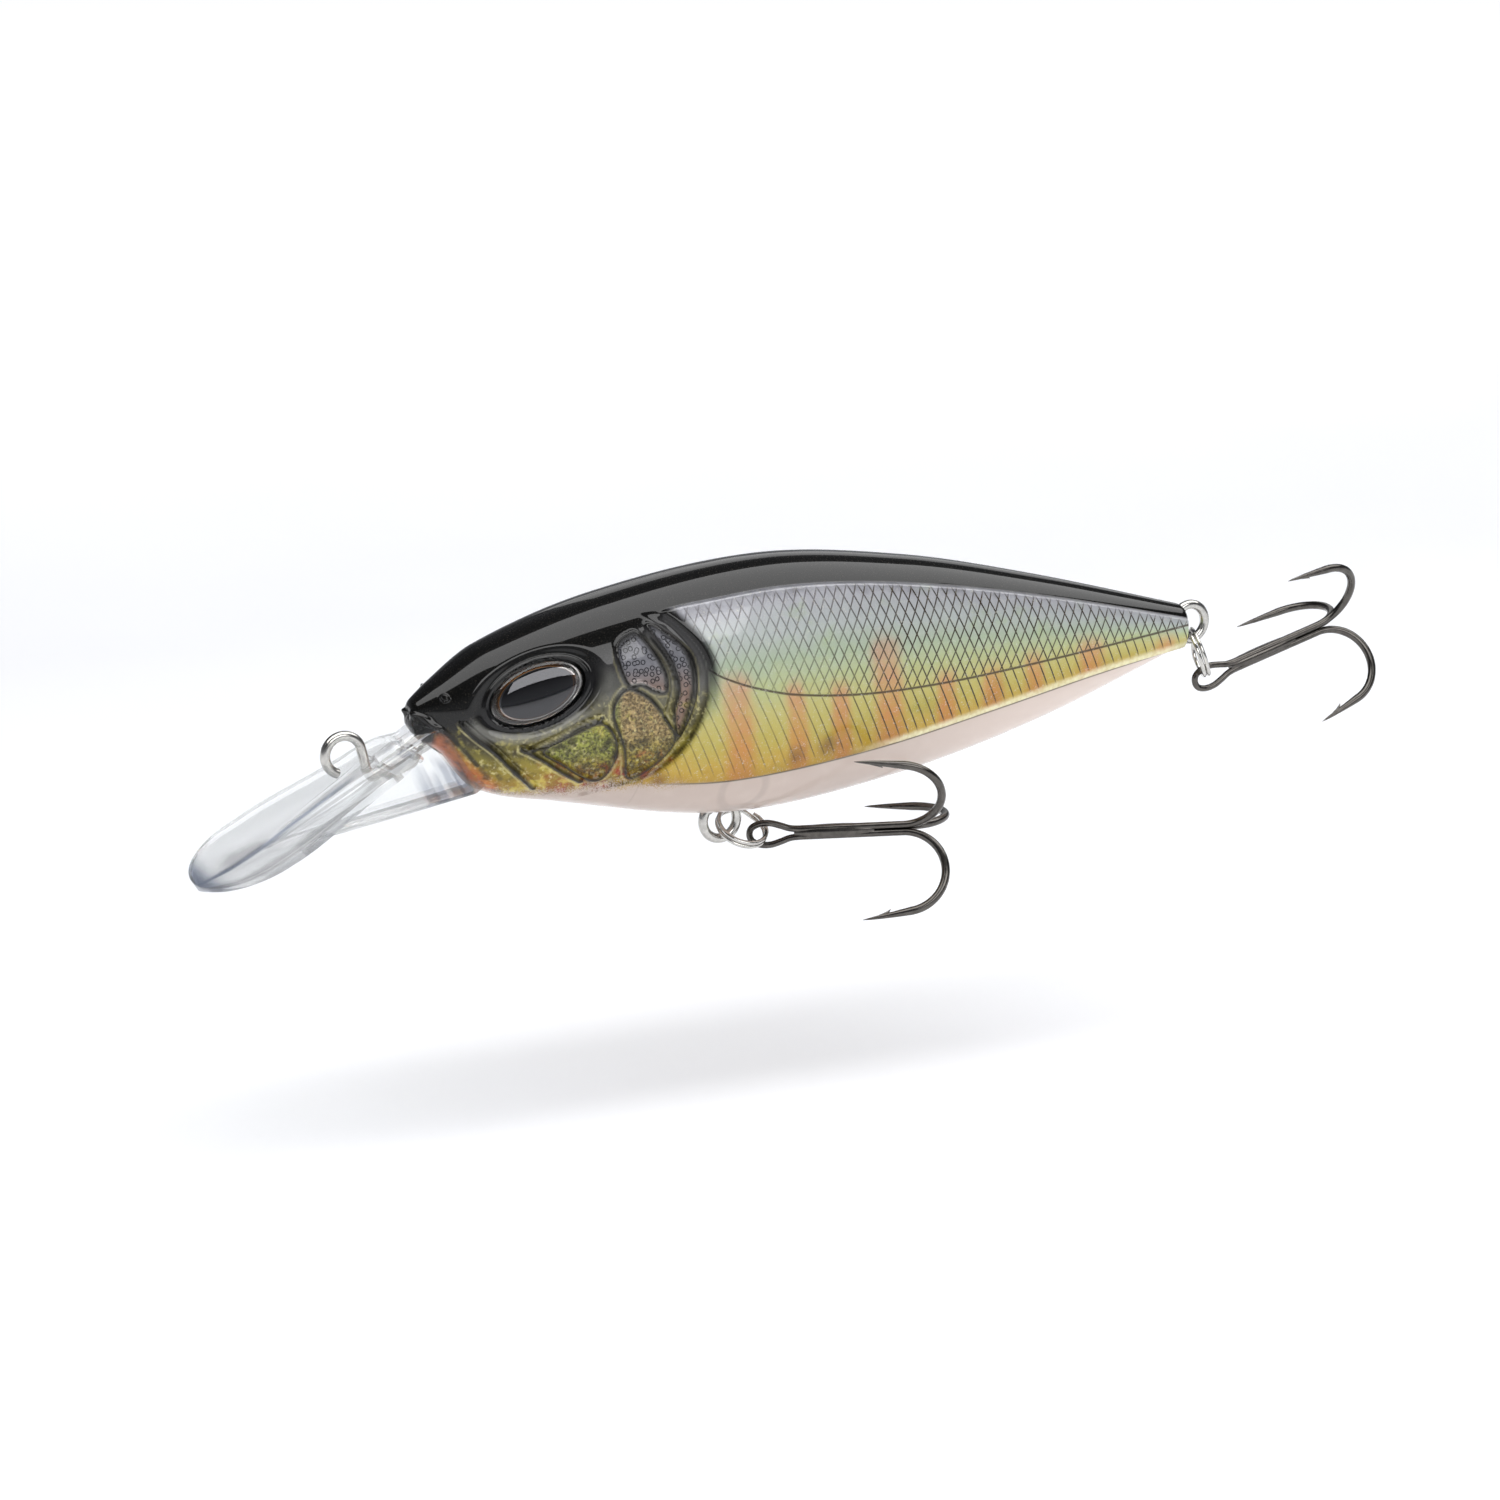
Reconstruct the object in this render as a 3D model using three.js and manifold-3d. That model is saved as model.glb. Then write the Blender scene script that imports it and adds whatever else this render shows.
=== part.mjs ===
// Deep-diving crankbait: a hollow two-half body with a clear diving bill, wire hangers, split rings
// and treble hooks. Millimetres, +Z up, nose towards -X, tail towards +X, the seam plane at Y = 0.
// Shapes are laid out from the nose tip; the whole lure is then moved so that the centre of the
// line tie's loop is the origin.
import * as THREE from 'three';
import { mergeVertices } from 'three/addons/utils/BufferGeometryUtils.js';
import Module from 'manifold-3d';

const wasm = await Module();
wasm.setup();

// Body: outlines in the seam plane and half-width, each a smooth curve through [x, value] knots.
const BODY_LENGTH = 76;
const BACK = [[0, 0.3], [2.2, 2], [6.6, 4.8], [17.6, 8.2], [33, 10.2], [47, 8.9], [60, 6.1], [76, 1.8]];
const KEEL = [
  [0, -1.2], [2.4, -3.6], [5.6, -7.3], [12.6, -9.2], [29, -12.1], [45, -10.7], [60, -7.3], [76, -1.9],
];
const HALF_WIDTH = [
  [0, 0.9], [3, 2.7], [8, 4.6], [15, 5.8], [23, 6.2], [33, 6.1], [47, 5.1], [62, 3.5], [76, 1.7],
];
const WIDEST_HEIGHT = [[0, -0.4], [10, -1.2], [30, -1], [76, 0]];
const FULLNESS = 2.3;
const STATIONS = 20;
const SIDES = 16;
const WALL = 1;
const CAVITY = [4, 72.5];
const SEAM_GAP = 0.1;
const FIT_GAP = 0.1;
const ROUND = 12;
const OVAL = 20;

// Wires, rings and hooks.
const HANGER_WIRE = 0.4;
const WIRE_STEPS = 40;
const HANGER_LOOP = 1.62;
const RING_WIRE = 0.2;
const RING_RADIUS = 2.2;
const RING_PITCH = 0.42;
const HOOK_WIRE = 0.29;
const HOOK_LENGTH = 17.56;
const BEND_RADIUS = 3.57;
const SHANK_OFFSET = 0.38;
const SHANK_START = 4.4;
const BEND_END = 80;
const POINT_LENGTH = 2.2;
const TIP_RADIUS = 0.03;

// Line tie, hangers and how each treble rests on its ring. ringFacing is the ring's axis, pull is
// where the treble draws its ring, and link is the place in the treble's eye that the ring's wire
// passes: distance from the eye's outer end, and height above the shank's axis.
const LINE_TIE = { x: -5.65, z: -3.4 };
const BELLY = {
  loop: [29.1, -13], depth: 5, ring: [31.1, -0.3, -13.8], ringFacing: [0.113, -0.522, 0.845],
  yaw: -31, pitch: 3.6, pull: [0.855, -0.514, 0.063], link: [1.7, 0],
};
const TAIL = {
  loop: [77, 0.05], depth: 7, ring: [78, 0, -2.9], ringFacing: [0.871, -0.352, 0.342],
  yaw: -3, pitch: 17, pull: [0, 0, -1], link: [1.5, 0.35],
};

// Diving bill: top plane through BILL_ROOT, sloping down towards the front.
const BILL_SLOPE = 28.3;
const BILL_ROOT = [1.2, -2];
const BILL_THICKNESS = 1.4;
const BILL_OUTLINE = [[-1, 2.3], [1.2, 3.6], [3, 5], [7.6, 5.3], [13.7, 6.7], [17.5, 6.7], [20.8, 4.9]];
const BILL_LENGTH = 22.8;
const BILL_BLOCK = [[-14.5, -11.3], [-2, -8.9], [5.4, -7.6], [8, -6], [8, 0.2], [1, -1.9]];
const BLOCK_HALF_WIDTH = 2.4;
const BLOCK_TAPER = 0.6;
const RIB = { start: 6.1, end: -0.5, below: 0.9, radius: 1 };

// Eye, seen square to the cheek, which faces a little forwards (turn) and upwards (lift).
const EYE = { x: 9.9, z: 1.2, long: 4.1, short: 2.4, tilt: 18, turn: 12, lift: 9 };
const EYE_POCKET = 1.2;
const IRIS_THICKNESS = 0.4;
const LENS_HEIGHT = 0.95;
const LENS_EDGE = 0.25;
const LENS_SEAT = 0.05;
const EYE_WALL = 0.9;

// Inside the body.
const CHANNEL = { start: 22.8, end: 50, z: -0.8, bore: 2.3, wall: 0.6 };
const TRANSFER_BALL = 2.1;
const MAGNET = { start: 23, length: 1.4, radius: 2.1 };
const RATTLE = { x: 17, z: -1.5, bore: 1.45, wall: 0.6, depth: 4.1, ball: 1.3, offset: 1.45 };
const BALLAST = { start: 15, end: 25.5, z: -6.8, radius: 1.4 };
const CRADLES = { x: [17.5, 22.5], rise: 1 };
const RIBS = { x: [34, 46], width: 1 };
const TOP_POST = { x: 38, z: 7, radius: 1.6 };
const HANGER_POST = 2;
const PIN = { radius: 0.85, length: 0.9, root: 1 };
// Half of a box that takes in the whole body, and a length that reaches from the seam past the skin.
const FAR = 20;
const THROUGH = 8;
const FOIL = { inset: 1.12, thickness: 0.25, start: 24, end: 66, low: -8.2, high: 5.2, clear: 1.2 };

const radians = THREE.MathUtils.degToRad;

function through(knots) {
  const slopes = knots.map((knot, i) => {
    const before = knots[Math.max(i - 1, 0)];
    const after = knots[Math.min(i + 1, knots.length - 1)];
    return (after[1] - before[1]) / (after[0] - before[0]);
  });
  return (x) => {
    let i = 0;
    while (i < knots.length - 2 && x > knots[i + 1][0]) {
      i += 1;
    }
    const span = knots[i + 1][0] - knots[i][0];
    const t = (x - knots[i][0]) / span;
    const ease = t * t * (3 - 2 * t);
    const bow = span * t * (1 - t) * ((1 - t) * slopes[i] - t * slopes[i + 1]);
    return knots[i][1] * (1 - ease) + knots[i + 1][1] * ease + bow;
  };
}

const back = through(BACK);
const keel = through(KEEL);
const halfWidth = through(HALF_WIDTH);
const widestHeight = through(WIDEST_HEIGHT);

// Solids

function solid(geometry) {
  const bare = geometry.clone();
  bare.deleteAttribute('normal');
  bare.deleteAttribute('uv');
  const merged = mergeVertices(bare, 1e-5);
  return new wasm.Manifold(new wasm.Mesh({
    numProp: 3,
    vertProperties: new Float32Array(merged.attributes.position.array),
    triVerts: new Uint32Array(merged.index.array),
  }));
}

function surface(body) {
  const { vertProperties, triVerts } = body.getMesh();
  const geometry = new THREE.BufferGeometry();
  geometry.setAttribute('position', new THREE.BufferAttribute(vertProperties, 3));
  geometry.setIndex(new THREE.BufferAttribute(triVerts, 1));
  return geometry;
}

function mirrored(geometry) {
  const copy = geometry.clone().scale(1, -1, 1);
  const flipped = Array.from(copy.index.array);
  for (let i = 0; i < flipped.length; i += 3) {
    [flipped[i + 1], flipped[i + 2]] = [flipped[i + 2], flipped[i + 1]];
  }
  copy.setIndex(flipped);
  return copy;
}

function box(low, high) {
  const size = high.map((value, i) => value - low[i]);
  const middle = high.map((value, i) => (value + low[i]) / 2);
  return solid(new THREE.BoxGeometry(...size).translate(...middle));
}

function rod(start, end, radius, tipRadius = radius, sides = ROUND) {
  const from = new THREE.Vector3(...start);
  const along = new THREE.Vector3(...end).sub(from);
  const geometry = new THREE.CylinderGeometry(tipRadius, radius, along.length(), sides);
  geometry.translate(0, along.length() / 2, 0);
  const turn = new THREE.Quaternion();
  turn.setFromUnitVectors(new THREE.Vector3(0, 1, 0), along.clone().normalize());
  return solid(geometry.applyQuaternion(turn).translate(from.x, from.y, from.z));
}

function ball(centre, radius) {
  return new THREE.SphereGeometry(radius, ROUND, 8).translate(...centre);
}

function wire(points, radius, steps) {
  const section = new THREE.Shape().absarc(0, 0, radius, 0, 2 * Math.PI);
  const extrudePath = new THREE.CatmullRomCurve3(points.map((point) => new THREE.Vector3(...point)));
  return new THREE.ExtrudeGeometry(section, { steps, extrudePath, curveSegments: 3 });
}

function arc(centre, radius, from, to, pieces) {
  return Array.from({ length: pieces + 1 }, (_, i) => {
    const angle = radians(from + ((to - from) * i) / pieces);
    return [centre[0] + radius * Math.cos(angle), centre[1] + radius * Math.sin(angle)];
  });
}

function slab(outline, halfThickness, grow) {
  const shape = new THREE.Shape(outline.map((point) => new THREE.Vector2(...point)));
  const geometry = new THREE.ExtrudeGeometry(shape, {
    depth: 2 * halfThickness, bevelEnabled: grow > 0, bevelSize: grow, bevelThickness: grow, bevelSegments: 1,
  });
  return geometry.translate(0, 0, -halfThickness).rotateX(Math.PI / 2);
}

// Body blank: a capped cylinder laid along X, each station stretched to the section there.

function blank(inset) {
  const geometry = new THREE.CylinderGeometry(1, 1, 1, SIDES, STATIONS);
  const position = geometry.attributes.position;
  for (let i = 0; i < position.count; i += 1) {
    const t = 0.5 - position.getY(i);
    const x = BODY_LENGTH * (0.4 * t + 0.6 * t * t);
    const across = Math.sign(position.getX(i)) * Math.abs(position.getX(i)) ** (2 / FULLNESS);
    const up = Math.sign(position.getZ(i)) * Math.abs(position.getZ(i)) ** (2 / FULLNESS);
    const outline = up > 0 ? back(x) : keel(x);
    const reach = Math.max(Math.abs(outline - widestHeight(x)) - inset, 0.05);
    const width = Math.max(halfWidth(x) - inset, 0.05);
    position.setXYZ(i, x, width * across, widestHeight(x) + reach * up);
  }
  return solid(geometry);
}

function flankHeight(x, z) {
  const outline = z > widestHeight(x) ? back(x) : keel(x);
  const part = (z - widestHeight(x)) / (outline - widestHeight(x));
  return halfWidth(x) * (1 - part ** FULLNESS) ** (1 / FULLNESS);
}

// Eye pieces lie in a pocket of the cheek: local Y points out of the head.

const eyeSeat = new THREE.Matrix4().compose(
  new THREE.Vector3(EYE.x, -flankHeight(EYE.x, EYE.z), EYE.z),
  new THREE.Quaternion().setFromEuler(
    new THREE.Euler(-radians(EYE.lift), radians(EYE.tilt), Math.PI - radians(EYE.turn), 'XZY'),
  ),
  new THREE.Vector3(1, 1, 1),
);

function eyeDisc(grow, from, to) {
  const disc = new THREE.CylinderGeometry(1, 1, to - from, OVAL);
  disc.scale(EYE.long + grow, 1, EYE.short + grow).translate(0, (from + to) / 2, 0);
  return disc.applyMatrix4(eyeSeat);
}

function eyeLens() {
  const rings = 4;
  const dome = Array.from({ length: rings + 1 }, (_, i) => {
    const angle = (i * Math.PI) / (2 * rings);
    return new THREE.Vector2(Math.cos(angle), LENS_EDGE + (LENS_HEIGHT - LENS_EDGE) * Math.sin(angle));
  });
  dome[rings].x = 0;
  const lens = new THREE.LatheGeometry([new THREE.Vector2(0, 0), new THREE.Vector2(1, 0), ...dome], OVAL);
  lens.scale(EYE.long, 1, EYE.short).translate(0, IRIS_THICKNESS + LENS_SEAT - EYE_POCKET, 0);
  return lens.applyMatrix4(eyeSeat);
}

// Bill: a flat tongue on a block that runs back into the chin, with a rib over the tie's shank.

function billPoint(along, across, below) {
  const slope = radians(BILL_SLOPE);
  return [
    BILL_ROOT[0] - along * Math.cos(slope) + below * Math.sin(slope), across,
    BILL_ROOT[1] - along * Math.sin(slope) - below * Math.cos(slope),
  ];
}

const tieShank = [[4.5, 1.1], [1, 1.1], [-2.5, 1.2]].map(([along, below]) => billPoint(along, 0, below));

function tiePath() {
  const loop = arc([LINE_TIE.x, LINE_TIE.z], HANGER_LOOP, 250, -18, 14).map(([x, z]) => [x, 0, z]);
  const dip = billPoint(5.6, 0, 0.8);
  const anchor = [[5, 0, -2.4], [5.6, 0, -4.2]];
  return [...loop, dip, ...tieShank, ...anchor];
}

function billBlock(grow) {
  const block = slab(BILL_BLOCK, BLOCK_HALF_WIDTH, grow);
  const length = -BILL_BLOCK[0][0];
  const position = block.attributes.position;
  for (let i = 0; i < position.count; i += 1) {
    const forward = Math.max(-position.getX(i), 0) / length;
    position.setY(i, position.getY(i) * (1 - BLOCK_TAPER * forward));
  }
  return solid(block);
}

function tongue(grow) {
  const edge = new THREE.SplineCurve([
    ...BILL_OUTLINE.map(([along, half]) => new THREE.Vector2(along, half)),
    new THREE.Vector2(BILL_LENGTH, 0),
    ...BILL_OUTLINE.toReversed().map(([along, half]) => new THREE.Vector2(along, -half)),
  ]);
  const outline = edge.getPoints(34).map((point) => point.toArray());
  const sheet = slab(outline, BILL_THICKNESS / 2, grow).rotateX(-Math.PI / 2);
  sheet.translate(0, 0, BILL_THICKNESS / 2).rotateY(Math.PI - radians(BILL_SLOPE));
  return solid(sheet.translate(BILL_ROOT[0], 0, BILL_ROOT[1]));
}

function billBody(grow) {
  const { start, end, below, radius } = RIB;
  const rib = rod(billPoint(start, 0, below), billPoint(end, 0, below), radius + grow);
  return tongue(grow).add(billBlock(grow)).add(rib);
}

function divingBill() {
  return billBody(0).subtract(solid(wire(tiePath(), HANGER_WIRE + FIT_GAP, WIRE_STEPS)));
}

// Hangers: one wire bent to an outer loop, a waist and an inner loop that a post holds.

function hanger({ loop, depth }, outward) {
  const inner = arc([-depth, 0], HANGER_LOOP, 175, 35, 6);
  const outer = arc([0, 0], HANGER_LOOP, 145, -145, 12);
  const otherInner = inner.map(([out, side]) => [out, -side]).toReversed();
  return [...inner, ...outer, ...otherInner].map(([out, side]) => (outward === 'down'
    ? [loop[0] + side, 0, loop[1] - out]
    : [loop[0] + out, 0, loop[1] + side]));
}

const bellyPost = [BELLY.loop[0], BELLY.loop[1] + BELLY.depth];
const tailPost = [TAIL.loop[0] - TAIL.depth, TAIL.loop[1]];

// Shell halves: side is -1 for the left half, which carries the pins, and +1 for the right half.

function across(x, z, from, to, radius) {
  return rod([x, from, z], [x, to, z], radius);
}

function shell(side) {
  const skin = blank(0);
  const cavity = blank(WALL).intersect(box([CAVITY[0], -20, -20], [CAVITY[1], 20, 20]));
  const seam = side * (SEAM_GAP / 2);
  const clamp = side * (HANGER_WIRE + FIT_GAP);
  const { x, z, bore, wall, depth } = RATTLE;
  const posts = [bellyPost, tailPost];
  const sided = (disc) => solid(side < 0 ? disc : mirrored(disc));

  let inside = across(x, z, seam, side * THROUGH, bore + wall);
  inside = inside.add(rod(
    [CHANNEL.start - wall, 0, CHANNEL.z], [CHANNEL.end + wall, 0, CHANNEL.z], CHANNEL.bore + CHANNEL.wall,
  ));
  for (const rib of RIBS.x) {
    const reach = side * RIBS.width;
    inside = inside.add(box([rib, Math.min(seam, reach), -FAR], [rib + 1, Math.max(seam, reach), FAR]));
  }
  for (const cradle of CRADLES.x) {
    inside = inside.add(box([cradle, -FAR, -FAR], [cradle + 1, FAR, BALLAST.z + CRADLES.rise]));
  }
  for (const [postX, postZ] of posts) {
    inside = inside.add(across(postX, postZ, clamp, side * THROUGH, HANGER_POST));
  }
  inside = inside.add(across(TOP_POST.x, TOP_POST.z, seam, side * THROUGH, TOP_POST.radius));
  inside = inside.add(sided(eyeDisc(EYE_WALL, -EYE_POCKET - EYE_WALL, 1)));

  let half = skin.subtract(cavity).add(inside.intersect(skin));
  half = half.subtract(sided(eyeDisc(FIT_GAP, -EYE_POCKET, EYE.long)));
  half = half.subtract(billBody(FIT_GAP));
  half = half.subtract(across(x, z, 0, side * depth, bore));
  half = half.subtract(rod([CHANNEL.start, 0, CHANNEL.z], [CHANNEL.end, 0, CHANNEL.z], CHANNEL.bore));
  half = half.subtract(rod(
    [BALLAST.start - 1, 0, BALLAST.z], [BALLAST.end + 1, 0, BALLAST.z], BALLAST.radius + FIT_GAP,
  ));
  for (const path of [hanger(BELLY, 'down'), hanger(TAIL, 'back')]) {
    half = half.subtract(solid(wire(path, HANGER_WIRE + FIT_GAP, WIRE_STEPS)));
  }
  const low = side < 0 ? -FAR : seam;
  const high = side < 0 ? seam : FAR;
  half = half.intersect(box([-1, low, -FAR], [BODY_LENGTH + 1, high, FAR]));

  for (const [postX, postZ] of [...posts, [TOP_POST.x, TOP_POST.z]]) {
    half = side < 0
      ? half.add(across(postX, postZ, -PIN.root, PIN.length, PIN.radius))
      : half.subtract(across(postX, postZ, 0, PIN.length + 2 * FIT_GAP, PIN.radius + FIT_GAP));
  }
  return half;
}

// Reflector foil behind the clear flank, notched round the belly hanger's post.

function foil() {
  const sheet = blank(FOIL.inset).subtract(blank(FOIL.inset + FOIL.thickness));
  const window = box([FOIL.start, -FAR, FOIL.low], [FOIL.end, -FOIL.clear, FOIL.high]);
  return sheet.intersect(window).subtract(across(...bellyPost, 0, -THROUGH, HANGER_POST + 0.3));
}

// Split ring: two turns side by side that cross over at one place, about local Z.

function splitRing() {
  const pieces = 42;
  const firstEnd = 25;
  const points = Array.from({ length: pieces + 1 }, (_, i) => {
    const turned = firstEnd + (670 * i) / pieces;
    const crossing = THREE.MathUtils.smoothstep(turned, 330, 390);
    const angle = radians(turned + 90);
    return [RING_RADIUS * Math.cos(angle), RING_RADIUS * Math.sin(angle), RING_PITCH * (crossing - 0.5)];
  });
  return wire(points, RING_WIRE, pieces);
}

// Treble: local X runs from the eye's outer end along the shank. A double hook, whose wire also
// forms the eye in the local XZ plane, and a single hook brazed to it.

function bend(angle) {
  const centre = HOOK_LENGTH - HOOK_WIRE - BEND_RADIUS;
  const curve = arc([centre, SHANK_OFFSET + BEND_RADIUS], BEND_RADIUS, BEND_END, -90, 12);
  const [startX, startOut] = curve[0];
  const lean = [-Math.sin(radians(BEND_END)), Math.cos(radians(BEND_END))];
  const point = [startX + POINT_LENGTH * lean[0], startOut + POINT_LENGTH * lean[1]];
  const run = [point, ...curve, [9, SHANK_OFFSET], [6.5, SHANK_OFFSET], [SHANK_START, SHANK_OFFSET]];
  return run.map(([along, out]) => [along, out * Math.cos(radians(angle)), out * Math.sin(radians(angle))]);
}

function pointAndBarb(run) {
  const end = new THREE.Vector3(...run[0]);
  const ahead = end.clone().sub(new THREE.Vector3(...run[1])).normalize();
  const inward = new THREE.Vector3(0, -end.y, -end.z).normalize();
  const reach = (forward, side) => end.clone().addScaledVector(ahead, forward).addScaledVector(inward, side);
  const point = rod(reach(-0.05, 0), reach(POINT_LENGTH, 0), HOOK_WIRE * 0.98, TIP_RADIUS, 8);
  const barb = rod(reach(0.9, 0), reach(-0.1, 0.55), 0.2, TIP_RADIUS, 6);
  return point.add(barb);
}

function doubleHook() {
  const low = bend(-120);
  const high = bend(120);
  const loop = [[3.4, 0.5], [2.5, 0.9], [1.7, 0.98], [0.8, 0.72], [HOOK_WIRE, 0]];
  const beside = low.at(-1)[1];
  const lowEye = loop.map(([along, out]) => [along, beside, -out]);
  const highEye = loop.slice(0, -1).map(([along, out]) => [along, beside, out]);
  const path = [...low, ...lowEye, ...highEye.toReversed(), ...high.toReversed()];
  return solid(wire(path, HOOK_WIRE, 66)).add(pointAndBarb(low)).add(pointAndBarb(high));
}

function singleHook() {
  const run = bend(0);
  return solid(wire(run, HOOK_WIRE, 26)).add(pointAndBarb(run));
}

// Assembly

const lure = new THREE.Group();
lure.position.set(-LINE_TIE.x, 0, -LINE_TIE.z);

const finishes = {
  clearPlastic: { color: 0xe8f0f0, roughness: 0.06, metalness: 0, transparent: true, opacity: 0.4 },
  paintedShell: { color: 0x8f9460, roughness: 0.18, metalness: 0.3 },
  foil: { color: 0xc8b070, roughness: 0.25, metalness: 1 },
  stainless: { color: 0xa9a9a6, roughness: 0.25, metalness: 1 },
  hookSteel: { color: 0x4b4a49, roughness: 0.32, metalness: 1 },
  tungsten: { color: 0x77787a, roughness: 0.4, metalness: 1 },
  iris: { color: 0x6a5232, roughness: 0.3, metalness: 0.8 },
};

function place(parent, name, geometry, finish) {
  const mesh = new THREE.Mesh(geometry, new THREE.MeshStandardMaterial(finishes[finish]));
  mesh.name = name;
  parent.add(mesh);
  return mesh;
}

place(lure, 'shell_left', surface(shell(-1)), 'paintedShell');
place(lure, 'shell_right', surface(shell(1)), 'paintedShell');
place(lure, 'diving_bill', surface(divingBill()), 'clearPlastic');
place(lure, 'line_tie_wire', wire(tiePath(), HANGER_WIRE, WIRE_STEPS), 'stainless');
place(lure, 'belly_hanger_wire', wire(hanger(BELLY, 'down'), HANGER_WIRE, WIRE_STEPS), 'stainless');
place(lure, 'tail_hanger_wire', wire(hanger(TAIL, 'back'), HANGER_WIRE, WIRE_STEPS), 'stainless');

const iris = mergeVertices(eyeDisc(0, -EYE_POCKET + 0.05, IRIS_THICKNESS - EYE_POCKET));
const lens = mergeVertices(eyeLens());
const flankFoil = surface(foil());
place(lure, 'flank_foil_left', flankFoil, 'foil');
place(lure, 'flank_foil_right', mirrored(flankFoil), 'foil');
place(lure, 'eye_iris_left', iris, 'iris');
place(lure, 'eye_iris_right', mirrored(iris), 'iris');
place(lure, 'eye_lens_left', lens, 'clearPlastic');
place(lure, 'eye_lens_right', mirrored(lens), 'clearPlastic');

const ballast = rod([BALLAST.start, 0, BALLAST.z], [BALLAST.end, 0, BALLAST.z], BALLAST.radius);
place(lure, 'belly_ballast', surface(ballast), 'tungsten');
const magnetEnd = MAGNET.start + MAGNET.length;
const magnet = rod([MAGNET.start, 0, CHANNEL.z], [magnetEnd, 0, CHANNEL.z], MAGNET.radius);
place(lure, 'holding_magnet', surface(magnet), 'stainless');
for (const number of [1, 2]) {
  const ballX = magnetEnd + FIT_GAP + TRANSFER_BALL + (number - 1) * (2 * TRANSFER_BALL + FIT_GAP);
  place(lure, `transfer_ball_${number}`, ball([ballX, 0, CHANNEL.z], TRANSFER_BALL), 'tungsten');
  const side = number === 1 ? -1 : 1;
  const rattleAt = [RATTLE.x, side * RATTLE.offset, RATTLE.z];
  place(lure, `rattle_ball_${number}`, ball(rattleAt, RATTLE.ball), 'stainless');
}

function turned(x, y, z) {
  return new THREE.Quaternion().setFromRotationMatrix(new THREE.Matrix4().makeBasis(x, y, z));
}

function hang(holder, name) {
  const facing = new THREE.Vector3(...holder.ringFacing).normalize();
  const toLink = new THREE.Vector3(...holder.pull).projectOnPlane(facing).normalize();
  const ring = place(lure, `${name}_split_ring`, splitRing(), 'stainless');
  ring.position.set(...holder.ring);
  ring.quaternion.copy(turned(toLink, facing.clone().cross(toLink), facing));

  const treble = new THREE.Group();
  treble.rotation.set(0, -radians(holder.pitch), radians(holder.yaw), 'ZYX');
  const [along, high] = holder.link;
  const inEye = new THREE.Vector3(along, -SHANK_OFFSET / 2, high).applyEuler(treble.rotation);
  treble.position.copy(ring.position).addScaledVector(toLink, RING_RADIUS).sub(inEye);
  place(treble, `${name}_treble_double_hook`, surface(doubleHook()), 'hookSteel');
  place(treble, `${name}_treble_single_hook`, surface(singleHook()), 'hookSteel');
  lure.add(treble);
}

hang(BELLY, 'belly');
hang(TAIL, 'tail');

const crankbait = new THREE.Group();
crankbait.add(lure);
export default crankbait;
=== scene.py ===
# A deep-diving crankbait, put together in the order it is on the bench: shell halves, eyes, clear bill,
# wires, split rings and treble hooks. Sizes are in millimetres from the tip of the nose, with +X to
# the tail, -Y to the fish's left and +Z up, and set_on_lure moves each finished mesh into the frame.
from math import cos, pi, radians, sin, sqrt

import bmesh
import bpy
import numpy
from mathutils import Matrix, Vector


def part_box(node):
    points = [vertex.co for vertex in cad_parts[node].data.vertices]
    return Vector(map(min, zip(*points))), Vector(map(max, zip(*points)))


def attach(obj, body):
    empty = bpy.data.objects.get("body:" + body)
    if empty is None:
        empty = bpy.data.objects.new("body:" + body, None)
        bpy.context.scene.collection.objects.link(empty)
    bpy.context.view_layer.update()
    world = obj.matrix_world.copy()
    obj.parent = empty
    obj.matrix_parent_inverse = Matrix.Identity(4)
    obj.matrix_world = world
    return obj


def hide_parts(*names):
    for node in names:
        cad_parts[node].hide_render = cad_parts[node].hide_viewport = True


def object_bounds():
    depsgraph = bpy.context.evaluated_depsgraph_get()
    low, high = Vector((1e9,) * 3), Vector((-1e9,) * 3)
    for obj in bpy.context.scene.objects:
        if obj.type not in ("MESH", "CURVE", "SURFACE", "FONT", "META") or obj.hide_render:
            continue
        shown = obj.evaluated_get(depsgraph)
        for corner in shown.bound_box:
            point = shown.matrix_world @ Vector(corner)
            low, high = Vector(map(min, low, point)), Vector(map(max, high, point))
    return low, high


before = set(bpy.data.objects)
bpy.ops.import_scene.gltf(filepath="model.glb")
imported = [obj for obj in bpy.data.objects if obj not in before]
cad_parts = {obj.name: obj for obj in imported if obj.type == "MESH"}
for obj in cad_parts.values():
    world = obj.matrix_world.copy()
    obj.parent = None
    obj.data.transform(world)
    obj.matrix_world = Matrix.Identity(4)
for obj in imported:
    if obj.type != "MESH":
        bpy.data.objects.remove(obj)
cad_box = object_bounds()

# Camera: a 100 mm lens a third of a metre from the lure's left side, a little ahead of it and above,
# with the whole lure in the frame from the tip of the bill to the tail hook.
AIM = Vector((0.0377, 0, -0.00368))
CAMERA_TURN = radians(27)
CAMERA_RISE = radians(13.5)
CAMERA_DISTANCE = 0.3617

lens_data = bpy.data.cameras.new("studio_camera")
lens_data.lens = 100
lens_data.sensor_width = 36
lens_data.clip_start = 0.01
camera = bpy.data.objects.new("studio_camera", lens_data)
ground_part = cos(CAMERA_RISE)
away = Vector((-sin(CAMERA_TURN) * ground_part, -cos(CAMERA_TURN) * ground_part, sin(CAMERA_RISE)))
camera.location = AIM + CAMERA_DISTANCE * away
camera.rotation_euler = away.to_track_quat("Z", "Y").to_euler()
bpy.context.scene.collection.objects.link(camera)
bpy.context.scene.camera = camera

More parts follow.
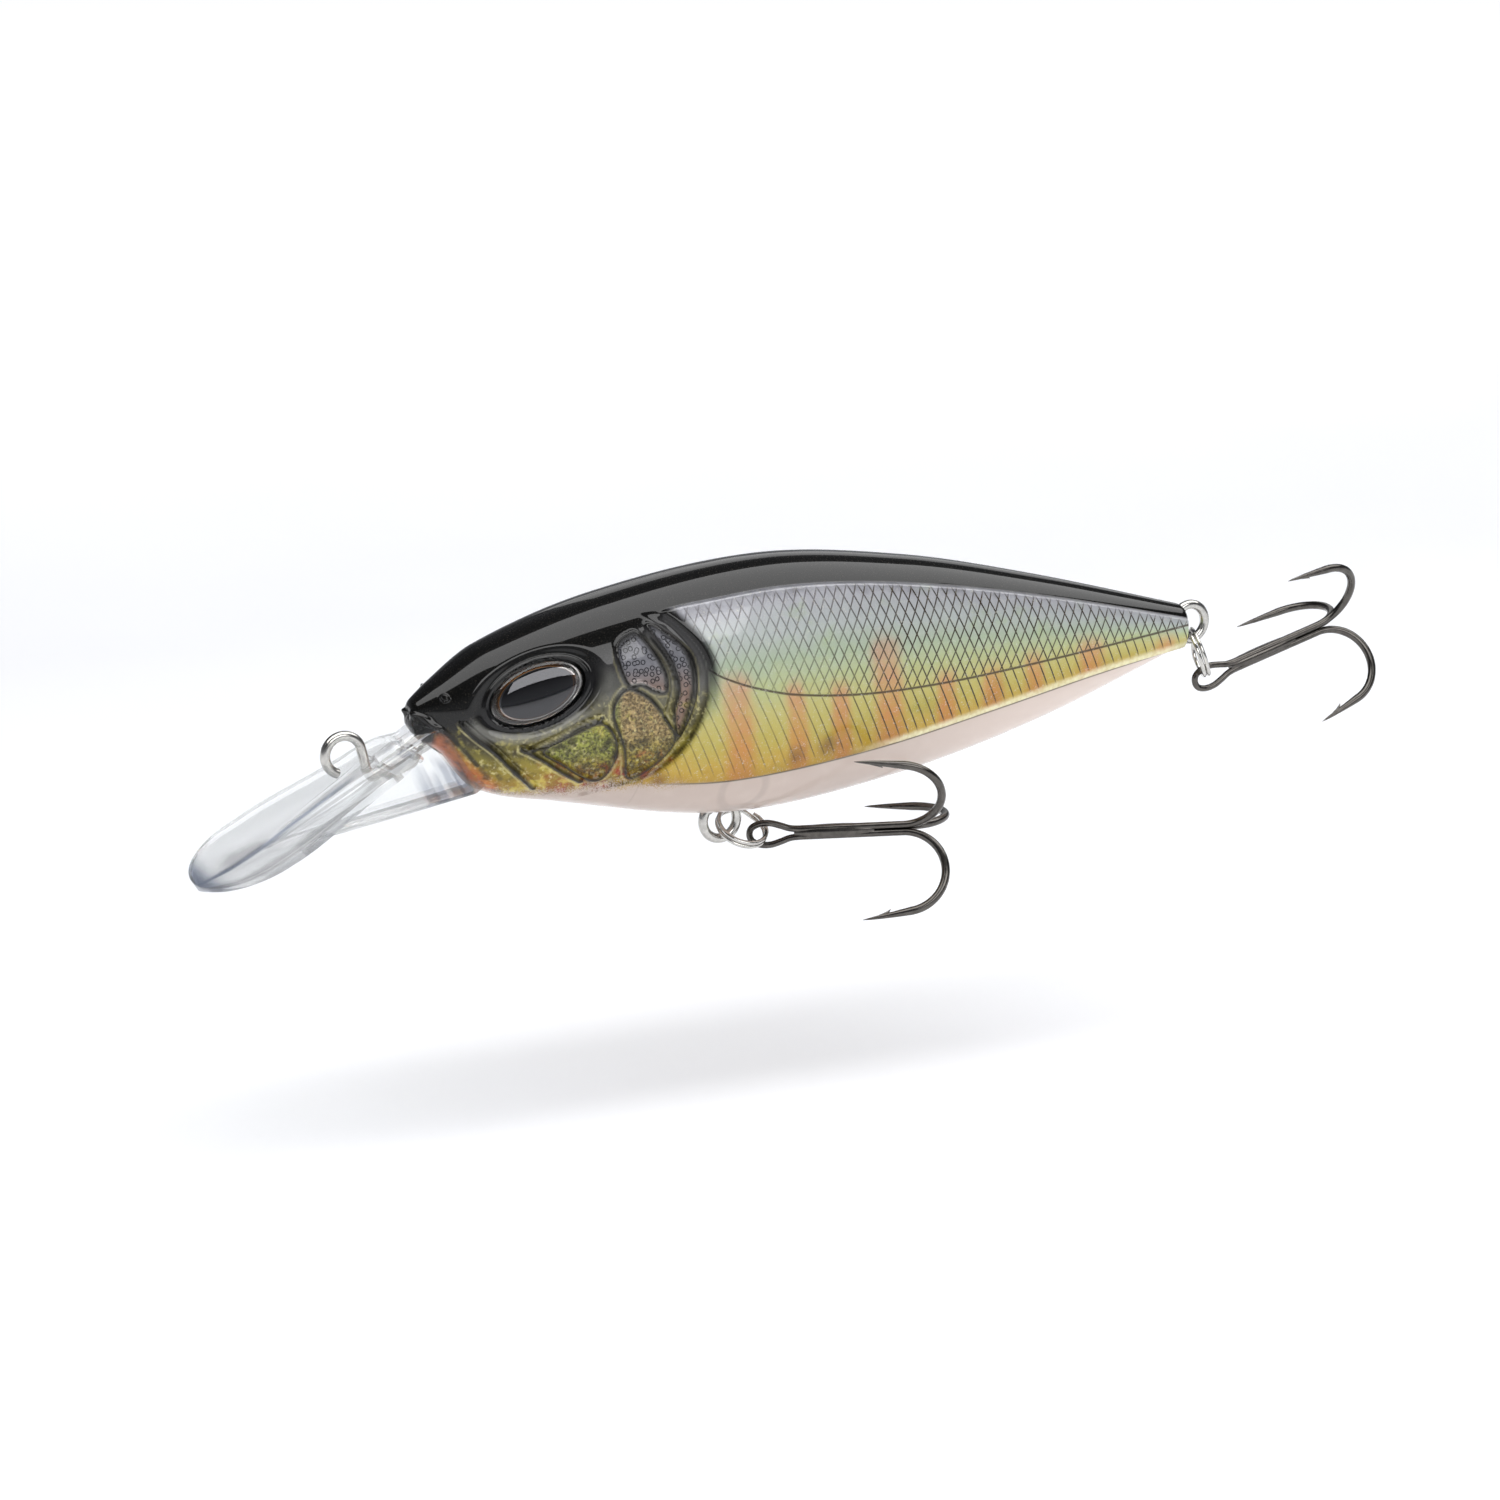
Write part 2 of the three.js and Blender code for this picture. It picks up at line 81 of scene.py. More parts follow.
# Shell halves: two clear plastic mouldings, 1 mm thick, glued along the seam and painted. The outlines
# are smooth curves through a few knots, the section is a superellipse, and the cheek's relief, the
# sunken flank and the eye's pocket are moulded into the skin.
NOSE = Vector((5.65, 0, 3.4))
BODY_LENGTH = 76
BACK = [(0, 0.3), (2.2, 2), (6.6, 4.8), (17.6, 8.2), (33, 10.2), (47, 8.9), (60, 6.1), (76, 1.8)]
KEEL = [(0, -1.2), (2.4, -3.6), (5.6, -7.3), (12.6, -9.2), (29, -12.1), (45, -10.7), (60, -7.3), (76, -1.9)]
HALF_WIDTH = [
    (0, 0.9), (3, 2.7), (8, 4.6), (15, 5.8), (23, 6.2), (33, 6.1), (47, 5.1), (62, 3.5), (76, 1.7),
]
WIDEST_HEIGHT = [(0, -0.4), (10, -1.2), (30, -1), (76, 0)]
FULLNESS = 2.3
WALL = 1
CAVITY = (3, 72.5)
SEAM = 0.02
NOSE_ROUND = 0.55
TAIL_ROUND = 0.5
BODY_ROWS, ROUND_ROWS, CLOSE_ROWS = 430, 6, 4
ROWS = BODY_ROWS + ROUND_ROWS + CLOSE_ROWS
SIDES = 200
INNER_ROWS, INNER_SIDES = 110, 44

FLANK_LOW = [(4, -6.6), (7.5, -7.6), (17.9, -7.6), (28, -8.2), (42, -7), (55, -4.9), (66, -3.1), (76, -1.9)]
BACK_PAINT = [
    (0, -1.3), (4, -0.9), (6, 1.4), (10, 3), (14.5, 3.7), (18.6, 5.6), (21, 6.9), (26, 7.6), (33, 8.1),
    (41, 7.7), (51, 6.3), (62, 4.1), (76, 0.8),
]
SIDE_LINE = [(24.6, 2.2), (26.2, 1.2), (29.3, 0), (33.3, -1), (40, -1.7), (48, -1.7), (57, -1.2), (76, 0.3)]
GILL_EDGE = [
    (19.9, 7.9), (22.6, 5.7), (24.4, 3.4), (24.9, 1), (24.5, -1.6), (22.7, -4.6), (19.7, -6.8), (15, -8.2),
]
GILL_CREASE = [(18.9, 6.3), (20.6, 5.7), (22.2, 4.6), (23.5, 3.2), (23.8, 1), (23.4, -1.2), (22.1, -3.8)]
GILL_RIB = [(18.9, 6.2), (19.6, 5.3), (20.7, 3.8), (21.6, 2.1), (21.7, 0.5), (21.3, -1), (20.9, -1.7)]
RINGED_PANELS = [
    [(16.9, 4.4), (18.5, 5.5), (19.3, 5), (20.3, 3.5), (21, 1.9), (21, 0.5), (20, 0.6),
     (18.9, 1.2), (17.5, 1.5)],
    [(19.9, 6), (21.5, 5.2), (23, 3.6), (23.5, 1.2), (23.1, -1), (22.1, -3.4), (21.7, -1.4),
     (22.2, 0.6), (21.6, 3)],
]
PEBBLED_PANELS = [
    [(16.2, -1.2), (16.6, 0.3), (17.7, 1), (19.5, 0), (21, -2), (21.8, -3.9), (20.2, -5.9),
     (17.9, -6.9), (17.2, -4)],
    [(10.2, -3.7), (13.1, -2.3), (15.1, -1.7), (16.2, -2.8), (16.5, -4.6), (15.5, -6.6),
     (13.9, -6.4), (12, -5.1)],
]
JAW_RIDGES = [
    [(3.9, -1.2), (5, -2.3), (6.4, -3.5), (7.8, -5), (9.9, -7)],
    [(8.6, -3.4), (10.2, -4.3), (11.9, -5.5), (13.7, -6.6)],
    [(9.4, -3.5), (11.3, -2.7), (13.1, -1.8), (15, -1.2)],
]
MOUTH = [(-0.4, -0.36), (0.4, -0.42), (1.2, -0.7), (1.9, -1.2), (2.7, -2), (3.7, -3.1), (5.1, -4.8)]
JAW_EDGE = [(1.9, -2.4), (3, -4), (4.3, -5.3), (6.4, -7.2)]
LIP_DROP = Vector((-0.22, 0, -0.55))
LIP_BULGE = 0.24
LIP_PASSES = 12
NOSTRIL = (2.6, 1)
NOSTRIL_RADIUS, NOSTRIL_DEPTH = 0.3, 0.4
FLANK_SINK = 0.34
GILL_EDGE_HEIGHT, GILL_CREASE_DEPTH, GILL_RIB_HEIGHT = 0.24, 0.18, 0.3
PANEL_HEIGHT, PANEL_GROOVE = 0.14, 0.22
RIDGE_HEIGHT = 0.2
FLANK_BARS = [
    (27.4, 1.6, 1.6), (33, 1.1, 0.2), (37.4, 1.1, -0.2), (42.4, 1.7, 3.2), (48.3, 1.2, -0.6),
    (53.3, 1.3, -0.8), (57.8, 1.1, 0), (64.2, 1.7, 0.6), (72.8, 1.4, -0.4),
]
DARK_SPOTS = [(33.4, -6.4, 1.1), (36.6, -5.9, 1.2), (20.6, -7.2, 1), (13.6, -6.9, 1.6)]

EYE = Vector((9.9, 0, 1.2))
EYE_LONG, EYE_SHORT = 4.1, 2.33
EYE_TILT, EYE_TURN, EYE_LIFT = radians(18), radians(12), radians(9)
EYE_POCKET, EYE_BACKING = 1.2, 1.2
EYE_BOWL, EYE_LIP = 0.36, 0.14
FIT_GAP = 0.1


def through(knots):
    """A smooth curve through the knots, as a function of the distance from the nose."""
    places, values = numpy.array(knots, float).T
    order = numpy.arange(len(places))
    before = numpy.maximum(order - 1, 0)
    after = numpy.minimum(order + 1, len(places) - 1)
    slopes = (values[after] - values[before]) / (places[after] - places[before])

    def curve(x):
        i = numpy.clip(numpy.searchsorted(places, x) - 1, 0, len(places) - 2)
        span = places[i + 1] - places[i]
        t = (x - places[i]) / span
        ease = t * t * (3 - 2 * t)
        bow = span * t * (1 - t) * ((1 - t) * slopes[i] - t * slopes[i + 1])
        return values[i] * (1 - ease) + values[i + 1] * ease + bow

    return curve


back, keel, half_width, widest = (through(k) for k in (BACK, KEEL, HALF_WIDTH, WIDEST_HEIGHT))
flank_low, back_paint, side_line = (through(k) for k in (FLANK_LOW, BACK_PAINT, SIDE_LINE))


def flank_width(x, z):
    """How far the skin stands from the seam at one place of the side view."""
    outline = back(x) if z > widest(x) else keel(x)
    share = (z - widest(x)) / (outline - widest(x))
    return half_width(x) * (1 - share**FULLNESS) ** (1 / FULLNESS)


def rise(value, low, high):
    """0 below low, 1 above high and a smooth step between them."""
    t = numpy.clip((value - low) / (high - low), 0, 1)
    return t * t * (3 - 2 * t)


def smooth_line(knots, closed=False, steps=8):
    """Points close together on a smooth line through the knots, flat or in space."""
    count = len(knots)
    points = []
    for i in range(count if closed else count - 1):
        near = [i - 1, i, i + 1, i + 2]
        picked = [k % count if closed else min(max(k, 0), count - 1) for k in near]
        before, start, end, after = (Vector(knots[k]) for k in picked)
        for step in range(steps):
            t = step / steps
            bend = (2 * before - 5 * start + 4 * end - after) * t
            bend += (3 * (start - end) - before + after) * t * t
            points.append(start + 0.5 * t * (end - before + bend))
    return points + [Vector(knots[0 if closed else -1])]


def from_line(knots, x, z, closed=False):
    """How far each place of the side view is from a line, and that distance signed plus on its left."""
    points = numpy.array(smooth_line(knots, closed))
    spans = numpy.diff(points, axis=0)
    along_x = x[:, None] - points[:-1, 0]
    along_z = z[:, None] - points[:-1, 1]
    share = numpy.clip((along_x * spans[:, 0] + along_z * spans[:, 1]) / (spans**2).sum(1), 0, 1)
    off_x = along_x - share * spans[:, 0]
    off_z = along_z - share * spans[:, 1]
    apart = numpy.hypot(off_x, off_z)
    nearest = apart.argmin(1)
    row = numpy.arange(len(x))
    left = spans[nearest, 0] * off_z[row, nearest] > spans[nearest, 1] * off_x[row, nearest]
    distance = apart[row, nearest]
    return distance, numpy.where(left, distance, -distance)


def eye_share(x, z):
    """Distance from the eye's middle in the side view, as a share of the eye's own size there."""
    across = (x - EYE.x) * cos(EYE_TILT) + (z - EYE.z) * sin(EYE_TILT)
    up = (z - EYE.z) * cos(EYE_TILT) - (x - EYE.x) * sin(EYE_TILT)
    return numpy.hypot(across / EYE_LONG, up / EYE_SHORT)


def skin(row, around, inside):
    """Places of the left half's skin, by row from nose to tail and share of the way from back to keel."""
    share = numpy.clip(row / BODY_ROWS, 0, 1)
    x = (BODY_LENGTH - TAIL_ROUND) * (0.3333 * share**2 / (share + 0.01) + 0.67 * share**3)
    corner = numpy.clip((row - BODY_ROWS) / ROUND_ROWS, 0, 1) * pi / 2
    x = x + TAIL_ROUND * numpy.sin(corner)
    closing = numpy.clip((row - BODY_ROWS - ROUND_ROWS) / CLOSE_ROWS, 0, 1)
    scale = (1 - closing) * numpy.sqrt(1 - (1 - numpy.clip(x / NOSE_ROUND, 0, 1)) ** 2)
    inset = TAIL_ROUND * (1 - numpy.cos(corner))
    if inside:
        x = CAVITY[0] + x * (CAVITY[1] - CAVITY[0]) / BODY_LENGTH
        inset = inset + WALL
    turn = pi * around
    up = numpy.sign(numpy.cos(turn)) * numpy.abs(numpy.cos(turn)) ** (2 / FULLNESS)
    across = numpy.abs(numpy.sin(turn)) ** (2 / FULLNESS)
    reach = numpy.abs(numpy.where(up > 0, back(x), keel(x)) - widest(x))
    if inside:
        eye_wall = 1 - rise(eye_share(x, widest(x) + reach * up), 1.15, 1.5)
        inset = inset + EYE_BACKING * eye_wall
    z = widest(x) + numpy.maximum(reach - inset, 0.05) * scale * up
    y = -numpy.maximum(half_width(x) - inset, 0.05) * scale * across - SEAM
    return numpy.stack([x, y, z], 1)


def moulded_relief(x, z):
    """Height of the moulded detail over the plain skin, and the guides that the paint follows."""
    above_belly = z - flank_low(x)
    below_back = back_paint(x) - z
    behind_gill = from_line(GILL_EDGE, x, z)[1]
    head = 1 - rise(behind_gill, -0.05, 0.15)
    sunk = rise(above_belly, 0, 0.3) * rise(below_back, 0, 0.35) * rise(behind_gill, -0.05, 0.3)
    plate_edge = rise(-behind_gill, 0, 0.3) * (1 - rise(-behind_gill, 0.7, 1.2)) * rise(7 - z, 0, 1)
    height = GILL_EDGE_HEIGHT * plate_edge - FLANK_SINK * sunk
    # Paint guides: the grooves, the gill crease, the ridge hollows and the mouth are painted dark as shade,
    # and thin lines beside them are painted pale as highlights.
    groove_shade = 1 - rise(numpy.abs(behind_gill - 0.15), 0.05, 0.45)
    crease, side = from_line(GILL_CREASE, x, z)
    under_back = 1 - rise(z, 4.6, 5.9)
    crease = (1 - rise(crease, 0.06, 0.3)) * under_back
    painted_glint = 1 - rise(numpy.abs(side - 0.34), 0.03, 0.12)
    height -= GILL_CREASE_DEPTH * crease
    groove_shade = numpy.maximum(groove_shade, crease)
    rib = numpy.exp(-((from_line(GILL_RIB, x, z)[0] / 0.34) ** 2)) * under_back
    height += GILL_RIB_HEIGHT * rib
    panels = []
    for outlines in (RINGED_PANELS, PEBBLED_PANELS):
        inside = numpy.max([-from_line(outline, x, z, closed=True)[1] for outline in outlines], 0)
        height += PANEL_HEIGHT * rise(inside, 0.05, 0.5)
        height -= PANEL_GROOVE * (1 - rise(numpy.abs(inside), 0.05, 0.28))
        groove_shade = numpy.maximum(groove_shade, 1 - rise(numpy.abs(inside), 0.04, 0.24))
        painted_glint = numpy.maximum(painted_glint, 1 - rise(numpy.abs(inside + 0.36), 0.03, 0.12))
        panels.append(rise(inside, 0.05, 0.3))
    for ridge in JAW_RIDGES:
        side = from_line(ridge, x, z)[1]
        crest, hollow = (numpy.exp(-((side - middle) ** 2) / 0.03) for middle in (0.16, -0.2))
        height += RIDGE_HEIGHT * (crest - hollow)
        groove_shade = numpy.maximum(groove_shade, 1 - rise(numpy.abs(side + 0.2), 0.06, 0.3))
        painted_glint = numpy.maximum(painted_glint, 1 - rise(numpy.abs(side + 0.52), 0.03, 0.12))
    gap = from_line(MOUTH, x, z)[0]
    lips = 1 - rise(x, 1.4, 2.6)
    height -= (0.1 + 0.2 * lips) * (1 - rise(gap, 0.04, 0.32))
    groove_shade = numpy.maximum(groove_shade, 0.9 * (1 - rise(gap, 0.06, 0.28)))
    height += LIP_BULGE * numpy.exp(-((x - 0.7) ** 2 / 0.8 + (z + 1.4) ** 2 / 0.3))
    off_nostril = numpy.hypot(x - NOSTRIL[0], z - NOSTRIL[1])
    height -= NOSTRIL_DEPTH * (1 - rise(off_nostril, NOSTRIL_RADIUS * 0.6, NOSTRIL_RADIUS * 1.3))
    socket = eye_share(x, z)
    border = rise(behind_gill, -0.1, 0.05) * (1 - rise(behind_gill, 0.45, 1.3)) * rise(z, -3.5, 3)
    bars = (1 - rise(from_line(JAW_EDGE, x, z)[0], 0.1, 1.1)) * head
    for middle, width, top in FLANK_BARS:
        across = numpy.abs(x + 0.12 * z - middle)
        one_bar = (1 - rise(across, 0.3 * width, 1.6 * width)) * rise(top + 1.5 - z, 0, 3)
        bars = numpy.maximum(bars, one_bar * (1 - head))
    spots = sum(numpy.exp(-((x - sx) ** 2 + (z - sz) ** 2) / size**2) for sx, sz, size in DARK_SPOTS)
    zones = numpy.stack([above_belly, below_back, behind_gill], 1)
    marks = numpy.stack([groove_shade * head, panels[0], panels[1]], 1)
    tints = numpy.stack([bars, z - side_line(x), spots], 1)
    accents = numpy.stack([painted_glint * head * (1 - groove_shade), socket, border], 1)
    return height, zones, marks, tints, accents


eye_seat = (
    Matrix.Translation((EYE.x, -flank_width(EYE.x, EYE.z), EYE.z))
    @ Matrix.Rotation(-EYE_LIFT, 4, "X")
    @ Matrix.Rotation(pi - EYE_TURN, 4, "Z")
    @ Matrix.Rotation(EYE_TILT, 4, "Y")
)


def press_eye_pocket(verts):
    """Sinks the pocket with a clean oval edge, inside a shallow bowl with a raised lip."""
    to_seat = eye_seat.inverted()
    for vert in verts:
        place = to_seat @ vert.co
        share = sqrt((place.x / (EYE_LONG + FIT_GAP)) ** 2 + (place.z / (EYE_SHORT + FIT_GAP)) ** 2)
        if share > 1.6 or vert.co.y > -1:
            continue
        bowl = 1 - float(rise(share, 1.12, 1.5))
        lip = 1 - float(rise(abs(share - 1.1), 0, 0.07))
        place.y += EYE_LIP * lip - EYE_BOWL * bowl
        if share < 1:
            moved = 1 if share > 0.93 else share
            place.y = -EYE_POCKET
        else:
            moved = max(share, 1.03) if share < 1.07 else share
        place.x *= moved / share if share > 0 else 1
        place.z *= moved / share if share > 0 else 1
        vert.co = eye_seat @ place


PAINT_GUIDES = ("zones", "marks", "tints", "accents")


def left_shell():
    """The left half as one closed wall: outer skin, inner skin and the seam face between them."""
    half = bmesh.new()
    layers = [half.verts.layers.float_vector.new(name) for name in PAINT_GUIDES]
    rims = []
    for inside, rows, sides in ((False, ROWS, SIDES), (True, INNER_ROWS, INNER_SIDES)):
        verts = bmesh.ops.create_grid(half, x_segments=rows, y_segments=sides, size=1)["verts"]
        flat = numpy.array([vert.co for vert in verts])
        row = numpy.round((flat[:, 0] + 1) / 2 * rows) * (ROWS / rows)
        places = skin(row, (flat[:, 1] + 1) / 2, inside)
        for edge_of_grid in (-1, 1):
            on_rim = [i for i in range(len(verts)) if abs(flat[i, 1] - edge_of_grid) < 1e-4]
            rims.append([verts[i] for i in sorted(on_rim, key=lambda i: flat[i, 0])])
        for vert, place in zip(verts, places):
            vert.co = place
        if inside:
            continue
        half.normal_update()
        height, *paint_guides = moulded_relief(places[:, 0], places[:, 2])
        on_seam = places[:, 1] > -SEAM - 1e-6
        for i, vert in enumerate(verts):
            outward = vert.normal if row[i] > 2 else Vector((-1, 0, 0))
            if row[i] <= BODY_ROWS:
                vert.co += outward * height[i]
            lower_lip = rise(-places[i, 2], 0.45, 0.95) * (1 - rise(places[i, 0], 0.6, 2.9))
            vert.co += LIP_DROP * float(lower_lip)
            if on_seam[i]:
                vert.co.y = -SEAM
            for layer, guide in zip(layers, paint_guides):
                vert[layer] = guide[i]
        lips = [vert for vert in verts if vert.co.x < 2.3]
        for _ in range(LIP_PASSES):
            bmesh.ops.smooth_vert(half, verts=lips, factor=0.5, use_axis_x=True, use_axis_z=True)
        nose_ring = [vert.co for vert, place in zip(verts, row) if place == 1]
        tip = sum(nose_ring, Vector()) / len(nose_ring)
        tip.y = -SEAM
        for vert, place in zip(verts, row):
            if place == 0:
                vert.co = tip
        press_eye_pocket(verts)
    per_inner = ROWS // INNER_ROWS
    for outer, inner in zip(rims[:2], rims[2:]):
        for i in range(INNER_ROWS):
            half.faces.new(outer[per_inner * i : per_inner * (i + 1) + 1] + [inner[i + 1], inner[i]])
    bmesh.ops.remove_doubles(half, verts=half.verts, dist=1e-4)
    bmesh.ops.recalc_face_normals(half, faces=half.faces)
    return half


def other_side(tool):
    """The same mesh for the fish's right side."""
    twin = tool.copy()
    bmesh.ops.scale(twin, vec=(1, -1, 1), verts=twin.verts)
    bmesh.ops.reverse_faces(twin, faces=twin.faces)
    return twin


def in_scene(name, tool):
    """Turns a finished mesh tool into an object of the scene."""
    mesh = bpy.data.meshes.new(name)
    tool.to_mesh(mesh)
    tool.free()
    made = bpy.data.objects.new(name, mesh)
    bpy.context.scene.collection.objects.link(made)
    return made


def set_on_lure(tool, name, material, body, slot, *nodes, crease=40):
    """Moves a piece into the frame's metres and hangs it on its body, for the nodes it stands for."""
    into_frame = Matrix.Scale(0.001, 4) @ Matrix.Translation(NOSE)
    bmesh.ops.transform(tool, matrix=into_frame, verts=tool.verts)
    piece = in_scene(name, tool)
    piece.data.materials.append(material)
    piece.data.shade_smooth()
    piece.data.set_sharp_from_angle(angle=radians(crease))
    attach(piece, body)
    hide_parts(*nodes)


def paint(red, green, blue):
    """A paint-chart colour, 0 to 255, as light."""
    parts = [value / 255 for value in (red, green, blue)]
    return tuple(p / 12.92 if p < 0.04 else ((p + 0.055) / 1.055) ** 2.4 for p in parts) + (1,)


class Reading:
    """What one socket of a finish gives. Sums on it add Math nodes, and node() adds any other node."""

    def __init__(self, socket):
        self.socket = socket

    def node(self, kind, settings=None, inputs=None, output=0):
        made = self.socket.id_data.nodes.new(kind)
        for name, value in (settings or {}).items():
            if name == "stops":
                stops = made.color_ramp.elements
                stops[0].position = value[0][0]
                stops[1].position = value[-1][0]
                for position, colour in value[1:-1]:
                    stops.new(position).color = colour
                stops[0].color = value[0][1]
                stops[len(value) - 1].color = value[-1][1]
            else:
                setattr(made, name, value)
        for name, value in (inputs or {}).items():
            if isinstance(value, Reading):
                self.socket.id_data.links.new(value.socket, made.inputs[name])
            else:
                made.inputs[name].default_value = value
        return Reading(made.outputs[output]) if made.outputs else None

    def math(self, operation, *values):
        return self.node("ShaderNodeMath", {"operation": operation}, dict(enumerate(values)))

    def __add__(self, other):
        if self.socket.type == "VECTOR":
            return self.node("ShaderNodeVectorMath", {}, {0: self, 1: (other, other, other)})
        return self.math("ADD", self, other)

    def __sub__(self, other):
        return self.math("SUBTRACT", self, other)

    def __rsub__(self, other):
        return self.math("SUBTRACT", other, self)

    def __mul__(self, other):
        return self.math("MULTIPLY", self, other)

    def __truediv__(self, other):
        return self.math("DIVIDE", self, other)

    def __abs__(self):
        return self.math("ABSOLUTE", self)

    __radd__ = __add__
    __rmul__ = __mul__

    def most(self, other):
        return self.math("MAXIMUM", self, other)

    def step(self, low, high):
        """0 at low and 1 at high with a smooth step between; low may be the greater."""
        smooth = {"interpolation_type": "SMOOTHSTEP"}
        return self.node("ShaderNodeMapRange", smooth, {0: self, 1: low, 2: high})

    def apart(self):
        """The three parts of a vector."""
        first = self.node("ShaderNodeSeparateXYZ", {}, {0: self})
        return [Reading(socket) for socket in first.socket.node.outputs]

    def grain(self, size, detail=2):
        """Even noise about 0, from -0.5 to 0.5, with spots of that size."""
        spread = {"Vector": self, "Scale": 1 / size, "Detail": detail}
        return self.node("ShaderNodeTexNoise", {}, spread) - 0.5

    def between(self, colour, other):
        """One colour where this reading is 0 and the other where it is 1."""
        return self.node("ShaderNodeMix", {"data_type": "RGBA"}, {0: self, 6: colour, 7: other}, 2)

    def along(self, *stops):
        """A colour from a ramp of stops, each a place and a paint-chart colour."""
        ramp = {"stops": [(place, paint(*tint)) for place, tint in stops]}
        return self.node("ShaderNodeValToRGB", ramp, {0: self})

    def bumps(self, depth=0.001):
        """A normal for a height in millimetres."""
        return self.node("ShaderNodeBump", {}, {"Height": self, "Distance": depth}, "Normal")

    def finish(self, **sockets):
        """Ends the material in one surface shader."""
        inputs = {name.replace("_", " "): value for name, value in sockets.items()}
        surface = self.node("ShaderNodeBsdfPrincipled", {}, inputs)
        self.node("ShaderNodeOutputMaterial", {}, {"Surface": surface})


def new_finish(name):
    """A new material, and a reading of the place on the lure in millimetres from the nose."""
    material = bpy.data.materials.new(name)
    material.use_nodes = True
    material.node_tree.nodes.clear()
    place = Reading(material.node_tree.nodes.new("ShaderNodeTexCoord").outputs["Object"])
    in_millimetres = {"Vector": place, "Location": -NOSE, "Scale": (1000, 1000, 1000)}
    return material, place.node("ShaderNodeMapping", {}, in_millimetres)


def bare_metal(name, grain, dull, bright, roughness, spread, relief, low=-0.2):
    """A metal whose drawing, plating or casting marks vary its tint, its gloss and its relief."""
    material, spot = new_finish(name)
    marks = spot.grain(*grain)
    spot.finish(
        Base_Color=marks.step(-0.3, 0.4).between(paint(*dull), paint(*bright)),
        Metallic=1,
        Roughness=roughness + spread * marks.step(low, 0.4),
        Normal=(marks * relief).bumps(),
    )
    return material


def layered(ground, *layers):
    """Paints layers, each a cover and a paint-chart colour, one after another over a ground."""
    for cover, tint in layers:
        ground = cover.between(ground, paint(*tint))
    return ground


# Paint of the shell: black back, scaled flank from silver through pale green to gold with warm bars,
# mottled cheek, milky belly, all under a thick clear gloss.
SCALE_PITCH = 1.0
shell_paint, spot = new_finish("shell_paint")
x, y, z = spot.apart()
zones, marks, tints, accents = (
    spot.node("ShaderNodeAttribute", {"attribute_name": name}, output="Vector") for name in PAINT_GUIDES
)
above_belly, below_back, behind_gill = zones.apart()
groove_shade, ringed, pebbled = marks.apart()
bars, above_line, spots = tints.apart()
painted_glint, socket, border = accents.apart()
dust = spot.grain(0.13)
fine = spot.grain(0.45, 3)
cloud = spot.grain(1.7, 3)
patch = (spot + 40).grain(3.2, 2)

on_flank = behind_gill.step(-0.05, 0.2)
flank_share = above_belly / (above_belly + below_back) + cloud * 0.12 + fine * 0.06
flank = flank_share.along(
    (0, (166, 130, 44)), (0.08, (186, 154, 62)), (0.22, (184, 168, 84)), (0.36, (190, 182, 112)),
    (0.5, (180, 188, 138)), (0.63, (176, 190, 164)), (0.78, (184, 190, 188)), (0.93, (172, 172, 178)),
    (1, (132, 132, 138)),
)
green = (flank_share - 0.12).along(
    (0, (146, 132, 44)), (0.3, (176, 176, 84)), (0.6, (176, 196, 150)), (0.9, (150, 152, 158)),
)
warm = flank_share.along(
    (0, (172, 104, 50)), (0.2, (196, 124, 66)), (0.5, (204, 138, 104)), (0.8, (190, 160, 140)),
)
flank = (patch * 1.6 + fine * 0.5 - 0.1).step(0, 0.5).between(flank, green)
flank = (bars * 0.66 + cloud * 0.5 + fine * 0.3).step(0.05, 1.05).between(flank, warm)

first_lines, second_lines = (
    x.math("PINGPONG", x + lean * z, SCALE_PITCH / 2).step(0.1, 0.03) for lean in (0.5, -0.53)
)
scales = first_lines.most(second_lines * above_line.step(0, 0.2))
scales = scales * above_belly.step(0.6, 1.4) * below_back.step(0.1, 0.8)
scales = scales * (0.42 + 0.5 * x.step(30, 46) + 0.7 * cloud) * on_flank
side_groove = abs(above_line).step(0.15, 0.05) * on_flank * below_back.step(0, 0.4)
engraved = scales.most(side_groove * 0.9)
# Painted highlight: a pale strip along the flank's lower edge stands for the light that its chamfer
# catches.
painted_edge_highlight = above_belly.step(0.12, 0.3) * above_belly.step(1.05, 0.45) * x.step(38, 46)
flank = layered(
    flank,
    ((spots * 0.8 + cloud * 0.6 + fine * 0.4).step(0.1, 1.1), (122, 84, 34)),
    (painted_edge_highlight * (0.75 + fine), (240, 236, 196)),
    (engraved, (62, 52, 38)),
    ((dust * 0.9 + fine * 0.6).step(0.05, 0.5), (214, 212, 196)),
    (border, (16, 15, 14)),
)

side_view = x.node("ShaderNodeCombineXYZ", {}, {0: x, 1: z})
flat_cells = {"Vector": side_view, "Scale": 1 / 0.58, "Randomness": 0.8}
cell = x.node("ShaderNodeTexVoronoi", {"voronoi_dimensions": "2D"}, flat_cells)
ring_marks = cell.step(0.2, 0.27) * cell.step(0.4, 0.33) * ringed
pebble_marks = (spot.grain(0.24, 2) * 1.5).step(-0.2, 0.4) * pebbled
gold_mottle = (spot.grain(0.6, 3) * 2.4 * z.step(-1, -3)).step(0.2, 0.8)
brown_mottle = ((spot + 21).grain(1.3, 3) * 3 * z.step(0, -2)).step(0.2, 0.9)
red_mottle = ((spot + 9).grain(1.1, 3) * 2.6).step(-0.2, 0.45) * z.step(-3.2, -5.6) * x.step(8, 13)
outside = (1 - pebbled) * (1 - ringed)
sparkle = spot.grain(0.42, 3).step(0.02, 0.22)
shaded_jaw = x.step(9, 5.5) * (z + x * 0.45).step(-2.6, -0.6)
